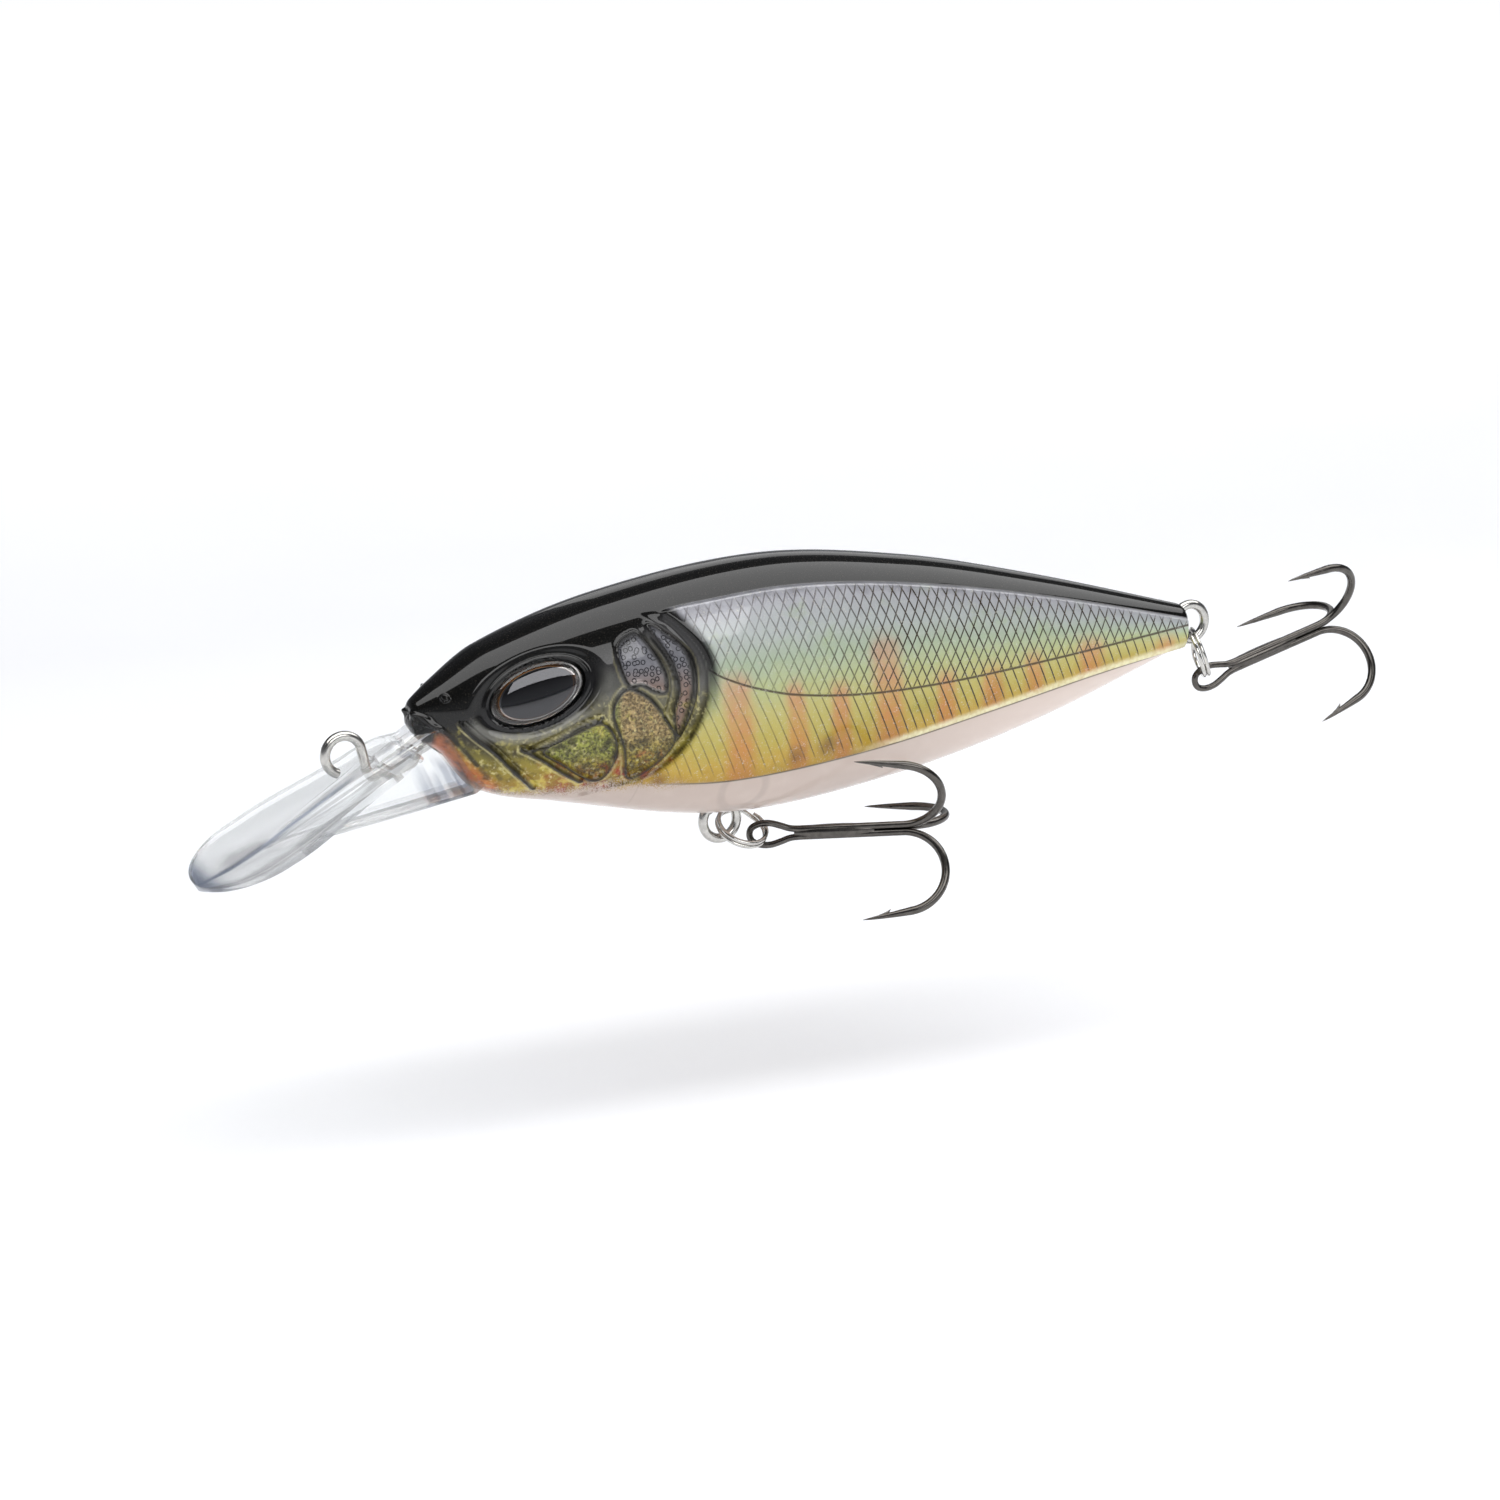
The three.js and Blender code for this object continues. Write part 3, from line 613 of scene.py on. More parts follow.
shade = (spot + 33).grain(0.9, 4) * 2 + spot.grain(2.6, 2) * 1.6
# Painted highlight: a pale arc on the rim of the eye's bowl, below the eye, stands for the gloss it
# catches.
under_eye_highlight = socket.step(1.75, 1.5) * socket.step(1.28, 1.4) * z.step(0, -1.2)
cheek = layered(
    ((z + 8.5) / 14.5 + cloud * 0.16 + dust * 0.06).along(
        (0.02, (136, 112, 48)), (0.1, (150, 118, 40)), (0.2, (146, 126, 38)), (0.32, (166, 154, 58)),
        (0.44, (146, 138, 78)), (0.55, (136, 132, 104)), (0.66, (134, 134, 128)), (0.8, (74, 74, 76)),
    ),
    (gold_mottle, (204, 190, 84)),
    (brown_mottle, (84, 66, 34)),
    (red_mottle * 0.95, (150, 54, 30)),
    (pebbled * x.step(17.4, 16.4) * z.step(-5.8, -4.2) * 0.8, (166, 172, 84)),
    (pebbled * x.step(16.4, 17.4) * z.step(-5.5, -2.5) * 0.85, (190, 162, 112)),
    (outside * z.step(-7, -2.5) * 0.5, (30, 27, 22)),
    (sparkle * z.step(1, -1.5) * 0.7, (222, 212, 150)),
    (ringed * 0.85, (124, 124, 130)),
    (ringed * z.step(3, 0) * 0.6, (150, 112, 86)),
    (shaded_jaw * 0.9, (34, 30, 25)),
    (bars * (0.9 + cloud * 1.2), (196, 104, 54)),
    (spots * 0.5, (110, 42, 26)),
    (ring_marks * 0.85, (34, 34, 38)),
    (pebble_marks * 0.75, (52, 42, 22)),
    (shade.step(0, 0.5) * z.step(2, -1) * 0.7, (40, 33, 18)),
    (shade.step(-0.15, -0.6) * z.step(0.5, -2) * 0.6, (218, 204, 96)),
    (socket.step(1.62, 1.22), (16, 16, 17)),
    (under_eye_highlight * 0.45, (150, 150, 144)),
)
sides = layered(
    on_flank.between(cheek, flank),
    # Painted highlight: thin pale lines beside the grooves stand for the light on their raised edges.
    (painted_glint * (0.4 + cloud) * z.step(6, -2), (206, 196, 140)),
    # Painted shade: near-black in the moulded grooves, the gill crease, the ridge hollows and the mouth,
    # where shade falls.
    (groove_shade * 0.94, (22, 20, 18)),
)

boss = (x - 29.1) * (x - 29.1) + (z + 9.2) * (z + 9.2)
milky = layered(
    x.step(14, 72).between(paint(192, 176, 166), paint(226, 210, 200)),
    (boss.step(2.4, 3.6) * boss.step(7, 4.6) * 0.22, (132, 118, 112)),
    ((cloud * 0.5 + 0.1).step(0, 1), (236, 226, 218)),
)
soft_belly = (above_belly + dust * 2.4 + cloud).step(0.55, -0.55)
belly = soft_belly + (above_belly.step(0.04, -0.04) - soft_belly) * x.step(19, 27)
edge_line = abs(above_belly - 0.04).step(0.2, 0.06) * x.step(19, 26)
soft_back = (below_back + dust * 1.6 + cloud).step(1.5, -0.3)
black = soft_back + (below_back.step(0.16, -0.06) - soft_back) * on_flank
lips = x.step(2.1, 1.5)
black = black.most(lips * z.step(-3.3, -2.8))
flakes = dust.step(0.08, 0.3)
colour = layered(
    belly.between(sides, milky),
    (edge_line * 0.85, (74, 66, 28)),
    (black, (10, 10, 9)),
    (flakes * black * 0.4, (84, 76, 66)),
)
foiled = (1 - black) * (1 - belly)
pits = spot.grain(0.5, 3) * z.step(1, -2) * (1 - on_flank)
detail = ring_marks * -0.1 - pebble_marks * 0.26 - engraved * 0.08 + (dust * 0.03 + pits * 0.16) * foiled
spot.finish(
    Base_Color=colour,
    Metallic=foiled * (0.3 + 0.12 * on_flank),
    Roughness=0.4 + dust * 0.2 - black * 0.12,
    Specular_IOR_Level=0.05,
    Normal=detail.bumps(),
    Coat_Weight=1 - 0.25 * belly,
    Coat_Roughness=0.03,
    Coat_IOR=1.41,
)

half = left_shell()
for side, tool in (("left", half), ("right", other_side(half))):
    name = "painted_shell_" + side
    set_on_lure(tool, name, shell_paint, "lure_body", "painted_shell", "shell_" + side, crease=50)

# Eyes: in each cheek pocket lies an oval disc with a plated rim, a bronze ring and a black pupil. A
# resin dome is glued over it, clear above the rim and smoked above the pupil.
IRIS_BACK = 0.05
DOME_TOP = 1.24
DOME_EDGE = 0.6
BOND = 0.045
EYE_STEPS = 96
iris_face = [
    (1, 0.31), (0.985, 0.35), (0.96, 0.35), (0.93, 0.31), (0.85, 0.17), (0.82, 0.14), (0.795, 0.15),
    (0.7, 0.19), (0.45, 0.23), (0.2, 0.25), (0, 0.255),
]
iris_profile = [(0, 0), (0.97, 0), (1, 0.03)] + iris_face
dome_turns = [pi / 2 * i / 14 for i in range(15)]
dome = [(cos(turn), DOME_EDGE + (DOME_TOP - DOME_EDGE) * sin(turn)) for turn in dome_turns]
lens_profile = [(share, height - BOND) for share, height in reversed(iris_face)] + dome


def turned(profile, floor):
    """A profile of (share of the radius, height) turned about the eye's axis, as an oval."""
    tool = bmesh.new()
    reach = tool.verts.layers.float.new("reach")
    chain = [tool.verts.new((share, floor + height, 0)) for share, height in profile]
    for vert in chain:
        vert[reach] = vert.co.x
    edges = [tool.edges.new(pair) for pair in zip(chain, chain[1:])]
    turn = {"axis": (0, 1, 0), "angle": 2 * pi, "steps": EYE_STEPS, "use_merge": True}
    bmesh.ops.spin(tool, geom=chain + edges, cent=(0, 0, 0), **turn)
    bmesh.ops.remove_doubles(tool, verts=tool.verts, dist=1e-5)
    bmesh.ops.recalc_face_normals(tool, faces=tool.faces)
    bmesh.ops.scale(tool, vec=(EYE_LONG, 1, EYE_SHORT), verts=tool.verts)
    bmesh.ops.transform(tool, matrix=eye_seat, verts=tool.verts)
    return tool


eye_print, spot = new_finish("eye_print")
reach = spot.node("ShaderNodeAttribute", {"attribute_name": "reach"}, output="Fac")
streaks = spot.grain(0.5, 3)
plated = reach.step(0.865, 0.885)
metal = plated.between(paint(212, 150, 88), paint(240, 237, 232))
metal = (streaks * 0.5).step(0, 0.9).between(metal, paint(150, 110, 70))
pupil = reach.step(0.825, 0.805)
spot.finish(
    Base_Color=pupil.between(metal, paint(5, 5, 6)),
    Metallic=0.9 - 0.9 * pupil,
    Roughness=0.14 + streaks * 0.08 + 0.4 * pupil,
)
clear_resin, spot = new_finish("clear_resin")
reach = spot.node("ShaderNodeAttribute", {"attribute_name": "reach"}, output="Fac")
smoked = reach.step(0.86, 0.8)
spot.finish(
    Base_Color=smoked.between(paint(255, 255, 255), paint(82, 82, 84)),
    Metallic=1,
    Roughness=0.03 + 0.02 * spot.grain(1.5).step(0, 0.4),
    Alpha=spot.node("ShaderNodeFresnel", {}, {"IOR": 1.5}).most(smoked * 0.8),
)
iris = turned(iris_profile, IRIS_BACK - EYE_POCKET)
lens = turned(lens_profile, IRIS_BACK - EYE_POCKET)
for side, discs in (("left", (iris, lens)), ("right", (other_side(iris), other_side(lens)))):
    pieces = (("iris_disc_", eye_print, "eye_iris"), ("domed_lens_", clear_resin, "eye_lens"))
    for tool, (piece, material, slot) in zip(discs, pieces):
        set_on_lure(tool, piece + side, material, "lure_body", slot, f"{slot}_{side}", crease=30)

# Diving bill: one clear polycarbonate moulding, a tongue with a creased upper face over a tapering
# keel that runs back into the chin, with a rib over the line tie's shank and two cross holes that lock
# the wire in. Painted shade darkens the plastic along the fold, at the tip and where the keel enters
# the chin, for the dark surroundings seen bent through the clear plastic there.
BILL_SLOPE = radians(28.3)
BILL_ROOT = Vector((1.2, 0, -2))
BILL_THICKNESS = 1.4
BILL_EDGE = 0.7
BILL_CREASE = 0.5
BILL_HALF = [(-1, 1.5), (1.2, 2.5), (3, 4.4), (7.6, 5.3), (13.7, 6.7), (17, 6.8)]
BILL_LENGTH = 22.8
BILL_WIDEST = 17
BILL_ROWS, BILL_COLUMNS = 72, 56
KEEL_OUTLINE = [(-14.5, -11.3), (-2, -8.9), (5.4, -7.6), (8, -6), (8, 0.2), (1, -1.9)]
KEEL_HALF = 2.4
KEEL_TAPER = 0.6
LOCK_HOLES = [(0.2, -3.9), (-2, -5.4)]
LOCK_RADIUS = 0.33
LOCK_REACH = 4

forward, down = cos(BILL_SLOPE), sin(BILL_SLOPE)
bill_seat = Matrix(((-forward, 0, -down, 0), (0, -1, 0, 0), (-down, 0, forward, 0), (0, 0, 0, 1)))
bill_seat.translation = BILL_ROOT
bill_half = through(BILL_HALF)


def bill_point(along, below):
    """A place in the seam plane, from the bill's root and under its upper face."""
    return bill_seat @ Vector((along, 0, -below))


def soften(tool, edges, width, segments, clamp_overlap=True):
    """Rounds edges over with a bevel."""
    shape = {"affect": "EDGES", "offset_type": "OFFSET", "profile": 0.5, "material": -1}
    shape.update(offset=width, segments=segments, clamp_overlap=clamp_overlap)
    bmesh.ops.bevel(tool, geom=edges, **shape)


def tongue():
    """Upper and lower faces as two grids bent to the outline, bridged round a rounded rim."""
    tool = bmesh.new()
    for upper in (True, False):
        verts = bmesh.ops.create_grid(tool, x_segments=BILL_ROWS, y_segments=BILL_COLUMNS, size=1)["verts"]
        for vert in verts:
            share = (vert.co.x + 1) / 2
            along = -1 + (BILL_LENGTH + 1) * sin(share * pi / 2)
            past = max(along - BILL_WIDEST, 0) / (BILL_LENGTH - BILL_WIDEST)
            half = float(bill_half(min(along, BILL_WIDEST))) * sqrt(max(1 - past * past, 0))
            off = abs(vert.co.y)
            away_from_root = float(rise(along, 4, 8))
            if upper:
                fading = 1 - 0.7 * float(rise(along, 19, BILL_LENGTH))
                valley = BILL_CREASE * (1 - off / 0.86) * away_from_root * fading
                rim = 0.16 * float(rise(off, 0.86, 0.93)) * away_from_root
                height = -0.16 * away_from_root - max(valley, 0) + rim
            else:
                thickness = BILL_THICKNESS - (BILL_THICKNESS - BILL_EDGE) * off**3
                height = -thickness * (1 - 0.5 * float(rise(along, 15, BILL_LENGTH)))
            vert.co = (along, half * vert.co.y, height)
    bmesh.ops.remove_doubles(tool, verts=tool.verts, dist=1e-3)
    bmesh.ops.bridge_loops(tool, edges=[edge for edge in tool.edges if edge.is_boundary])
    bmesh.ops.recalc_face_normals(tool, faces=tool.faces)
    soften(tool, [edge for edge in tool.edges if edge.calc_face_angle(0) > radians(50)], 0.28, 3)
    bmesh.ops.transform(tool, matrix=bill_seat, verts=tool.verts)
    return tool


def chin_keel():
    """The keel's side view, drawn out across the seam, narrowed towards the front and softened."""
    tool = bmesh.new()
    face = tool.faces.new([tool.verts.new((kx, -KEEL_HALF, kz)) for kx, kz in KEEL_OUTLINE])
    far = bmesh.ops.extrude_face_region(tool, geom=[face])["geom"]
    far_verts = [item for item in far if isinstance(item, bmesh.types.BMVert)]
    bmesh.ops.translate(tool, vec=(0, 2 * KEEL_HALF, 0), verts=far_verts)
    for vert in tool.verts:
        forward = max(-vert.co.x, 0) / -KEEL_OUTLINE[0][0]
        vert.co.y *= 1 - KEEL_TAPER * forward
    bmesh.ops.recalc_face_normals(tool, faces=tool.faces)
    ends = {edge: [vert.co for vert in edge.verts] for edge in tool.edges}
    soften(tool, [edge for edge, (a, b) in ends.items() if abs(a.x - b.x) > 2 and a.z < -5.5], 0.8, 6)
    return tool


def draw_wire(tool, path, radii, sides=16, facing=None, flat=1):
    """Draws a round, or flattened, section along a path, with a radius for each of its points."""
    seat_before = None
    side = facing or (path[1] - path[0]).orthogonal()
    for i, point in enumerate(path):
        ahead = (path[min(i + 1, len(path) - 1)] - path[max(i - 1, 0)]).normalized()
        side = facing or side
        side = (side - ahead * side.dot(ahead)).normalized()
        up = ahead.cross(side)
        radius = radii[i]
        seat = Matrix((side * radius * flat, up * radius, ahead)).transposed().to_4x4()
        seat.translation = point
        if seat_before is None:
            section = {"cap_ends": True, "radius": 1, "segments": sides, "matrix": seat}
            verts = bmesh.ops.create_circle(tool, **section)["verts"]
            edges = list({edge for vert in verts for edge in vert.link_edges})
        else:
            grown = bmesh.ops.extrude_edge_only(tool, edges=edges)["geom"]
            verts = [item for item in grown if isinstance(item, bmesh.types.BMVert)]
            fresh = set(verts)
            edges = [e for e in grown if isinstance(e, bmesh.types.BMEdge) and fresh.issuperset(e.verts)]
            bmesh.ops.transform(tool, matrix=seat @ seat_before.inverted(), verts=verts)
        seat_before = seat
    bmesh.ops.contextual_create(tool, geom=edges)
    bmesh.ops.recalc_face_normals(tool, faces=tool.faces)


def rounded(count, radius, ends=2):
    """Radii for a wire whose cut ends are rounded over."""
    radii = [radius] * count
    for i in range(ends):
        radii[i] = radii[-1 - i] = radius * (0.72 + 0.28 * i / ends)
    return radii


def joined(tool, others, operation):
    """Joins solids to a first one, or cuts them out of it, through exact booleans."""
    blank = in_scene("blank", tool)
    cutters = [in_scene("cutter", other) for other in others]
    for cutter in cutters:
        cut = blank.modifiers.new("cut", "BOOLEAN")
        cut.operation = operation
        cut.object = cutter
        cut.solver = "EXACT"
    depsgraph = bpy.context.evaluated_depsgraph_get()
    result = bmesh.new()
    result.from_mesh(bpy.data.meshes.new_from_object(blank.evaluated_get(depsgraph)))
    for used in [blank, *cutters]:
        bpy.data.objects.remove(used)
    return result


rib = bmesh.new()
rib_path = [bill_point(6.5 - 0.5 * i, 0.62) for i in range(14)]
draw_wire(rib, rib_path, [0.45, 0.72, 0.88, 0.96] + [1] * 10, sides=32)
holes = []
for hole_x, hole_z in LOCK_HOLES:
    hole = bmesh.new()
    ends = [Vector((hole_x, across, hole_z)) for across in (-LOCK_REACH, LOCK_REACH)]
    draw_wire(hole, ends, [LOCK_RADIUS] * 2, sides=28)
    holes.append(hole)
bill = joined(joined(tongue(), [chin_keel(), rib], "UNION"), holes, "DIFFERENCE")

clear_plastic, spot = new_finish("clear_polycarbonate")
scuffs = spot.node("ShaderNodeMapping", {}, {"Vector": spot, "Scale": (0.4, 3.0, 1.4)}).grain(0.35, 4)
x, y, z = spot.apart()
# Painted shade: the plastic is darkened and made less clear along the fold, at the tip and at the chin,
# standing for the dark surroundings seen bent through it.
fold = abs(y).step(0.75, 0.1) * x.step(-3.5, -6)
at_tip = x.step(-16.2, -18.2)
curl = x.math("SINE", (x - 3.1 + (z + 5.6) * 0.5) * 2.6)
at_chin = x.step(0.4, 2.2) * z.step(-4.4, -5.6) * curl.step(-0.4, 0.5)
painted_dark_refraction = (fold * 0.9).most(at_tip * 0.85).most(at_chin * 0.8)
spot.finish(
    Base_Color=painted_dark_refraction.between(paint(246, 249, 249), paint(52, 70, 102)),
    Alpha=0.66 + 0.3 * painted_dark_refraction,
    Transmission_Weight=1,
    IOR=1.58,
    Roughness=0.008 + 0.05 * scuffs.step(0.14, 0.4),
    Normal=(scuffs * 0.004).bumps(),
)
set_on_lure(bill, "clear_bill", clear_plastic, "lure_body", "clear_bill", "diving_bill", crease=28)

# Line tie and hangers: 0.8 mm stainless wire, each bent to its loop. The tie runs back under the
# bill's rib into the chin, and each hanger has an inner loop that a post in the shell holds.
HANGER_WIRE = 0.43
HANGER_LOOP = 1.62
LINE_TIE = Vector((-5.65, 0, -3.4))
BELLY_LOOP, BELLY_DEPTH = Vector((29.1, 0, -13)), 5
TAIL_LOOP, TAIL_DEPTH = Vector((77, 0, 0.05)), 7


def arc(middle, radius, start, end, pieces):
    """Points (across, up) on part of a circle, by degrees."""
    turns = (radians(start + (end - start) * i / pieces) for i in range(pieces + 1))
    return [(middle[0] + radius * cos(turn), middle[1] + radius * sin(turn)) for turn in turns]


stainless = bare_metal("stainless_wire", (0.4, 4), (176, 174, 170), (214, 212, 207), 0.17, 0.1, 0.006)

tie_loop = [LINE_TIE + Vector((across, 0, up)) for across, up in arc((0, 0), HANGER_LOOP, 254, 8, 14)]
tie_shank = [bill_point(*place) for place in ((5.6, 0.8), (4.5, 1.1), (1, 1.1), (-2.5, 1.2))]
tie_path = smooth_line(tie_loop + tie_shank + [(5, 0, -2.4), (5.6, 0, -4.2)])
tie = bmesh.new()
draw_wire(tie, tie_path, rounded(len(tie_path), HANGER_WIRE), sides=20)
set_on_lure(tie, "line_tie_loop", stainless, "lure_body", "stainless_wire", "line_tie_wire")

for name, loop, depth, turn in (
    ("belly_hanger", BELLY_LOOP, BELLY_DEPTH, Matrix.Rotation(pi / 2, 3, "Y")),
    ("tail_hanger", TAIL_LOOP, TAIL_DEPTH, Matrix.Identity(3)),
):
    inner = arc((-depth, 0), HANGER_LOOP, 175, 35, 6)
    outer = arc((0, 0), HANGER_LOOP, 145, -145, 14)
    bend = inner + outer + [(out, -side) for out, side in reversed(inner)]
    path = smooth_line([loop + turn @ Vector((out, 0, side)) for out, side in bend])
    hanger = bmesh.new()
    draw_wire(hanger, path, rounded(len(path), HANGER_WIRE), sides=20)
    set_on_lure(hanger, name, stainless, "lure_body", "stainless_wire", name + "_wire")

# Split rings: two close turns of flattened stainless wire that cross over once, sprung on to a hanger
# and through the eye of a treble.
RING_RADIUS = 2.2
RING_WIRE = 0.2
RING_PITCH = 0.42
RING_PIECES = 150

split_steel = bare_metal("split_ring_steel", (0.3, 4), (186, 184, 180), (222, 220, 215), 0.13, 0.1, 0.004)


def split_ring(seat, facing):
    """Both turns as one wire, side by side but for the cross-over."""
    path = []
    for i in range(RING_PIECES + 1):
        turned_by = 25 + 670 * i / RING_PIECES
        turn = radians(turned_by + 90)
        lift = RING_PITCH * (float(rise(turned_by, 330, 390)) - 0.5)
        path.append(seat @ Vector((RING_RADIUS * cos(turn), RING_RADIUS * sin(turn), lift)))
    ring = bmesh.new()
    draw_wire(ring, path, rounded(len(path), RING_WIRE, 3), sides=16, facing=facing, flat=0.94)
    return ring


# Treble hooks: a double hook bent from one wire, whose loop is the eye, and a single hook brazed along
# its shank. The points are ground to a needle with a small barb cut up on the inside, and the steel is
# plated in dark nickel. Along each hook, X runs from the eye's outer end down the shank.
HOOK_WIRE = 0.29
FORGED_WIRE = 0.37
SHANK_WIRE = 0.32
HOOK_LENGTH = 17.56
BEND_RADIUS = 3.57
BEND_END = 80
SHANK_OFFSET = 0.38
POINT_LENGTH, POINT_PIECES = 4.4, 26
TIP_RADIUS = 0.025
BARB_AT = 1.4
EYE_BEND = [(3.8, 0.44), (3.0, 0.72), (2.1, 0.97), (1.2, 0.93), (0.5, 0.58), (0.29, 0)]
BRAZE_START, BRAZE_END = 4.2, 11.2

dark_nickel = bare_metal("dark_nickel", (0.5, 4), (84, 81, 78), (104, 101, 97), 0.2, 0.08, 0.003)


def hook_run(angle):
    """Points from the tip round the bend and up the shank, with radii, for the hook at that angle."""
    middle = (HOOK_LENGTH - HOOK_WIRE - BEND_RADIUS, SHANK_OFFSET + BEND_RADIUS)
    curve = arc(middle, BEND_RADIUS, BEND_END, -90, 44)
    lean = (-sin(radians(BEND_END)), cos(radians(BEND_END)))
    run = []
    for i in range(POINT_PIECES):
        left = POINT_LENGTH * (1 - i / POINT_PIECES) ** 1.1
        inward = 0.1 * (left / POINT_LENGTH) ** 2
        run.append((curve[0][0] + left * lean[0], curve[0][1] + left * lean[1] - inward))
    ground = [(i / (POINT_PIECES - 1)) ** 0.62 for i in range(POINT_PIECES)]
    radii = [max(FORGED_WIRE * share, TIP_RADIUS) for share in ground]
    run += curve + [(middle[0] - 0.5 * i, SHANK_OFFSET) for i in range(1, 19)]
    radii += [FORGED_WIRE] * 34
    while len(radii) < len(run):
        radii.append(max(radii[-1] - 0.005, SHANK_WIRE))
    out_y, out_z = cos(radians(angle)), sin(radians(angle))
    return [Vector((along, out * out_y, out * out_z)) for along, out in run], radii


def add_barb(tool, run, seat):
    """A thin sliver cut up from the inside of the point, leaning back from the tip."""
    start = next(point for point in run if (point - run[0]).length > BARB_AT)
    back_along = (start - run[0]).normalized()
    inward = Vector((0, -start.y, -start.z)).normalized()
    steps = (0, 0.3, 0.55, 0.8, 1)
    path = [seat @ (start + back_along * t + inward * (0.04 + 0.5 * t * t)) for t in steps]
    draw_wire(tool, path, [0.17, 0.19, 0.16, 0.09, 0.015], sides=10)


def double_hook(seat):
    """Both hooks and the eye between them as one wire, and the braze that fills the shank."""
    low, low_radii = hook_run(-120)
    high, high_radii = hook_run(120)
    beside = low[-1].y
    low_side = [Vector((along, beside, -out)) for along, out in EYE_BEND]
    high_side = [Vector((along, beside, out)) for along, out in EYE_BEND[-2::-1]]
    eye = smooth_line([low[-1], *low_side, *high_side, high[-1]], steps=10)
    thinning = [SHANK_WIRE - 0.004 * i for i in range(8)]
    eye_radii = thinning + [HOOK_WIRE] * (len(eye) - 16) + thinning[::-1]
    radii = low_radii[:-1] + eye_radii + high_radii[-2::-1]
    path = [seat @ point for point in low[:-1] + eye + high[-2::-1]]
    tool = bmesh.new()
    draw_wire(tool, path, radii, sides=14)
    add_barb(tool, low, seat)
    add_barb(tool, high, seat)
    count = 24
    places = [BRAZE_START + (BRAZE_END - BRAZE_START) * i / count for i in range(count + 1)]
    swell = [0.16 + 0.48 * sin(pi * (0.02 + 0.96 * i / count)) ** 0.25 for i in range(count + 1)]
    draw_wire(tool, [seat @ Vector((along, 0, 0)) for along in places], swell, sides=24)
    return tool


def single_hook(seat):
    """The third hook, its shank tapered off where it is brazed to the other two."""
    run, radii = hook_run(0)
    radii = radii[:-2] + [SHANK_WIRE * 0.85, SHANK_WIRE * 0.5]
    tool = bmesh.new()
    draw_wire(tool, [seat @ point for point in run], radii, sides=14)
    add_barb(tool, run, seat)
    return tool


for name, middle, facing, yaw, pitch, pull, link in (
    ("belly", (31.1, -0.3, -13.8), (0.113, -0.522, 0.845), -31, 3.6, (0.855, -0.514, 0.063), (1.7, 0)),
    ("tail", (78, 0, -2.9), (0.871, -0.352, 0.342), -3, 17, (0, 0, -1), (1.5, 0.35)),
):
    facing = Vector(facing).normalized()
    to_link = Vector(pull)
    to_link = (to_link - facing * to_link.dot(facing)).normalized()
    ring_seat = Matrix((to_link, facing.cross(to_link), facing)).transposed().to_4x4()
    ring_seat.translation = middle
    ring = split_ring(ring_seat, facing)
    set_on_lure(ring, name + "_ring", split_steel, name + "_ring", "stainless_wire", name + "_split_ring")

    seat = (Matrix.Rotation(radians(yaw), 3, "Z") @ Matrix.Rotation(-radians(pitch), 3, "Y")).to_4x4()
    in_eye = seat @ Vector((link[0], -SHANK_OFFSET / 2, link[1]))
    seat.translation = Vector(middle) + RING_RADIUS * to_link - in_eye
    treble = name + "_treble"
    for piece, make in (("double_hook", double_hook), ("single_hook", single_hook)):
        node = f"{treble}_{piece}"
        set_on_lure(make(seat), f"{name}_{piece}", dark_nickel, treble, "hook_steel", node)

# Inside the body: reflector foil behind each flank, a cast weight in the belly, two heavy balls that
# roll back on the cast, the magnet that holds them, and two rattle balls in their cross chamber.
foil_film, spot = new_finish("embossed_foil")
emboss = spot.node("ShaderNodeTexVoronoi", {}, {"Vector": spot, "Scale": 1 / 0.8})
spot.finish(
    Base_Color=spot.grain(3).step(-0.3, 0.4).between(paint(214, 196, 140), paint(222, 222, 214)),
    Metallic=1,
    Roughness=0.2 + 0.2 * emboss,
    Normal=(emboss * 0.05).bumps(),
)
for name in ("flank_foil_left", "flank_foil_right"):
    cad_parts[name].data.materials.clear()
    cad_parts[name].data.materials.append(foil_film)

grey_cast = ((112, 112, 115), (140, 140, 143))
cast_weight = bare_metal("satin_tungsten", (0.4, 4), *grey_cast, 0.38, 0.15, 0.02, low=-0.3)
nickel_plate, spot = new_finish("nickel_plate")
plate_haze = spot.grain(0.8, 3)
spot.finish(
    Base_Color=plate_haze.step(-0.3, 0.4).between(paint(190, 188, 182), paint(214, 212, 206)),
    Metallic=1,
    Roughness=0.16 + 0.12 * plate_haze.step(-0.3, 0.4),
)


def softened_rod(start, end, radius):
    """A rod along the body with its end edges rounded."""
    tool = bmesh.new()
    lie = Matrix.Translation(((start + end) / 2, 0, 0)) @ Matrix.Rotation(pi / 2, 4, "Y")
    size = {"radius1": radius, "radius2": radius, "depth": end - start, "segments": 48}
    bmesh.ops.create_cone(tool, cap_ends=True, matrix=lie, **size)
    corners = [edge for edge in tool.edges if edge.calc_face_angle(0) > radians(60)]
    soften(tool, corners, radius * 0.18, 4, clamp_overlap=False)
    return tool


for node, material, slot in (
    ("belly_ballast", cast_weight, "weight_metal"),
    ("holding_magnet", nickel_plate, "magnet_plating"),
):
    low, high = (corner * 1000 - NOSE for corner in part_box(node))
    rod = softened_rod(low.x, high.x, (high.y - low.y) / 2)
    bmesh.ops.translate(rod, vec=(0, 0, (low.z + high.z) / 2), verts=rod.verts)
    set_on_lure(rod, "smooth_" + node, material, "lure_body", slot, node)

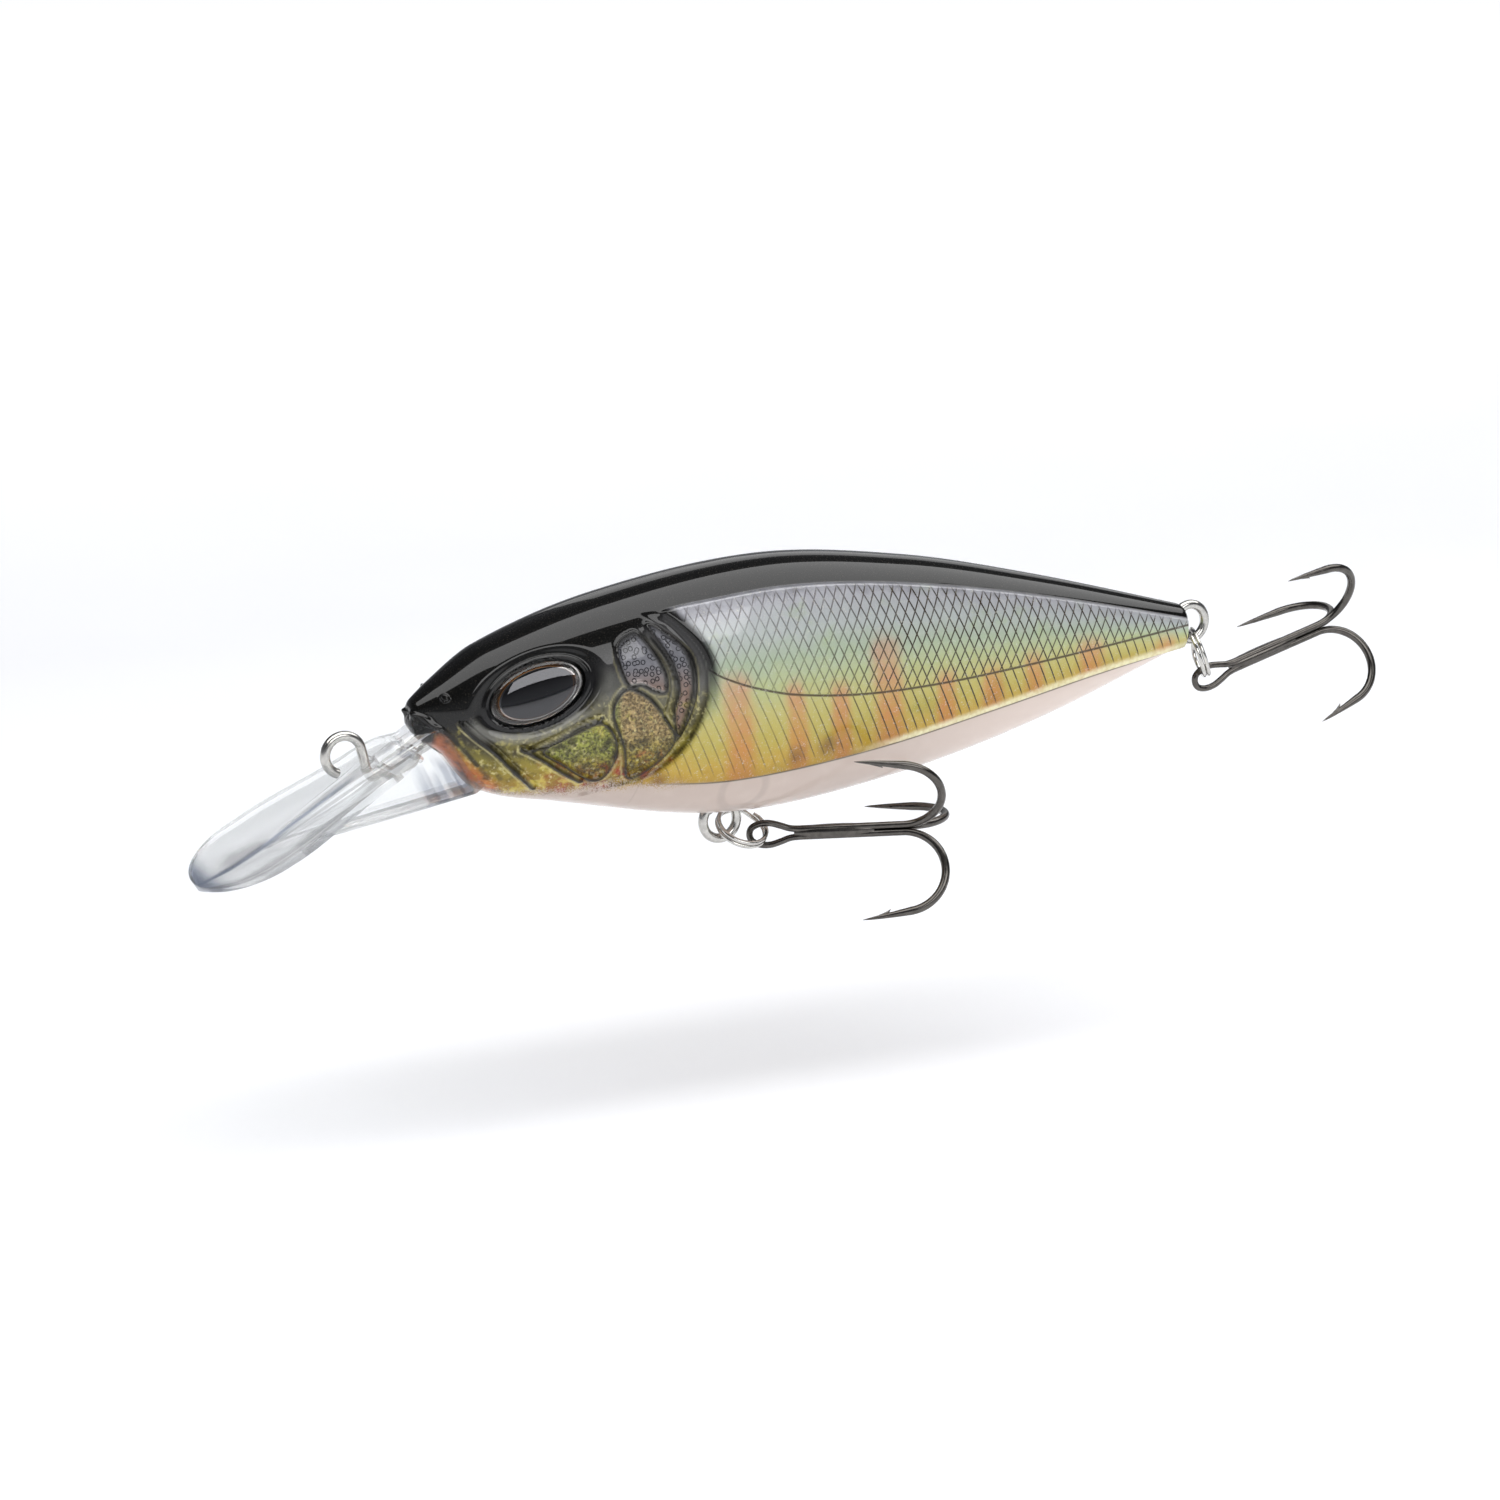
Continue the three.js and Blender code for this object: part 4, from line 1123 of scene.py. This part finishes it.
for body, prefix, material in (
    ("transfer_weight", "transfer_ball_", cast_weight),
    ("rattle", "rattle_ball_", nickel_plate),
):
    for number in "12":
        low, high = (corner * 1000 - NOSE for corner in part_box(prefix + number))
        ball = bmesh.new()
        bmesh.ops.create_icosphere(ball, subdivisions=4, radius=(high.z - low.z) / 2)
        bmesh.ops.translate(ball, vec=(low + high) / 2, verts=ball.verts)
        set_on_lure(ball, "smooth_" + prefix + number, material, body, "weight_metal", prefix + number)

# Studio: a pale floor under the lure, clear of the trebles however they hang, with a painted glow
# that is faint, a little stronger round the lure, and full behind it as the backdrop; one long softbox
# overhead that gives the back its gloss band, a soft key beside the camera and a weak back fill.
FLOOR_GAP = 0.014
FLOOR_REACH = 3
floor_tool = bmesh.new()
bmesh.ops.create_grid(floor_tool, x_segments=1, y_segments=1, size=FLOOR_REACH)
bmesh.ops.translate(floor_tool, vec=(0, 0, cad_box[0][2] - FLOOR_GAP), verts=floor_tool.verts)
floor = in_scene("studio_floor", floor_tool)
pale_paper, spot = new_finish("pale_paper")
x, y, z = spot.apart()
# Painted glow: the floor glows faintly, a little more round the lure, and fully behind it.
glow_near_lure = x.math("SQRT", x * x + y * y).step(600, 150)
lit_backdrop = (y - 60).step(0, 700)
spot.finish(
    Base_Color=spot.grain(40).step(-0.5, 0.5).between(paint(246, 247, 250), paint(249, 250, 252)),
    Roughness=0.7,
    Emission_Color=(glow_near_lure * 0.06 + 0.03).most(lit_backdrop).between((0, 0, 0, 1), (0.88, 0.88, 0.9, 1)),
    Emission_Strength=1,
)
floor.data.materials.append(pale_paper)


def softbox(name, place, size, power):
    """A rectangular light that faces the lure."""
    light = bpy.data.lights.new(name, "AREA")
    light.shape = "RECTANGLE"
    light.size, light.size_y = size
    light.energy = power
    holder = bpy.data.objects.new(name, light)
    holder.location = AIM + Vector(place)
    behind = Vector(place).normalized()
    across = (Vector((1, 0, 0)) - behind * behind.x).normalized()
    holder.rotation_euler = Matrix((across, behind.cross(across), behind)).transposed().to_euler()
    bpy.context.scene.collection.objects.link(holder)


softbox("overhead_softbox", (0.05, -0.06, 0.6), (1.55, 0.5), 7)
softbox("key_softbox", (0.02, -0.85, 0.47), (0.85, 0.36), 3.4)
softbox("back_fill", (0.5, 0.8, 0.45), (0.6, 0.4), 0.6)

sky = bpy.data.worlds.new("studio_air")
sky.use_nodes = True
sky.node_tree.nodes.clear()
height = Reading(sky.node_tree.nodes.new("ShaderNodeTexCoord").outputs["Generated"]).apart()[2]
glow = height.step(0.02, 0.4).between((0.3, 0.31, 0.33, 1), (0.07, 0.072, 0.08, 1))
backdrop = height.node("ShaderNodeBackground", {}, {"Color": glow})
height.node("ShaderNodeOutputWorld", {}, {"Surface": backdrop})
bpy.context.scene.world = sky
bpy.context.scene.view_settings.view_transform = "Standard"
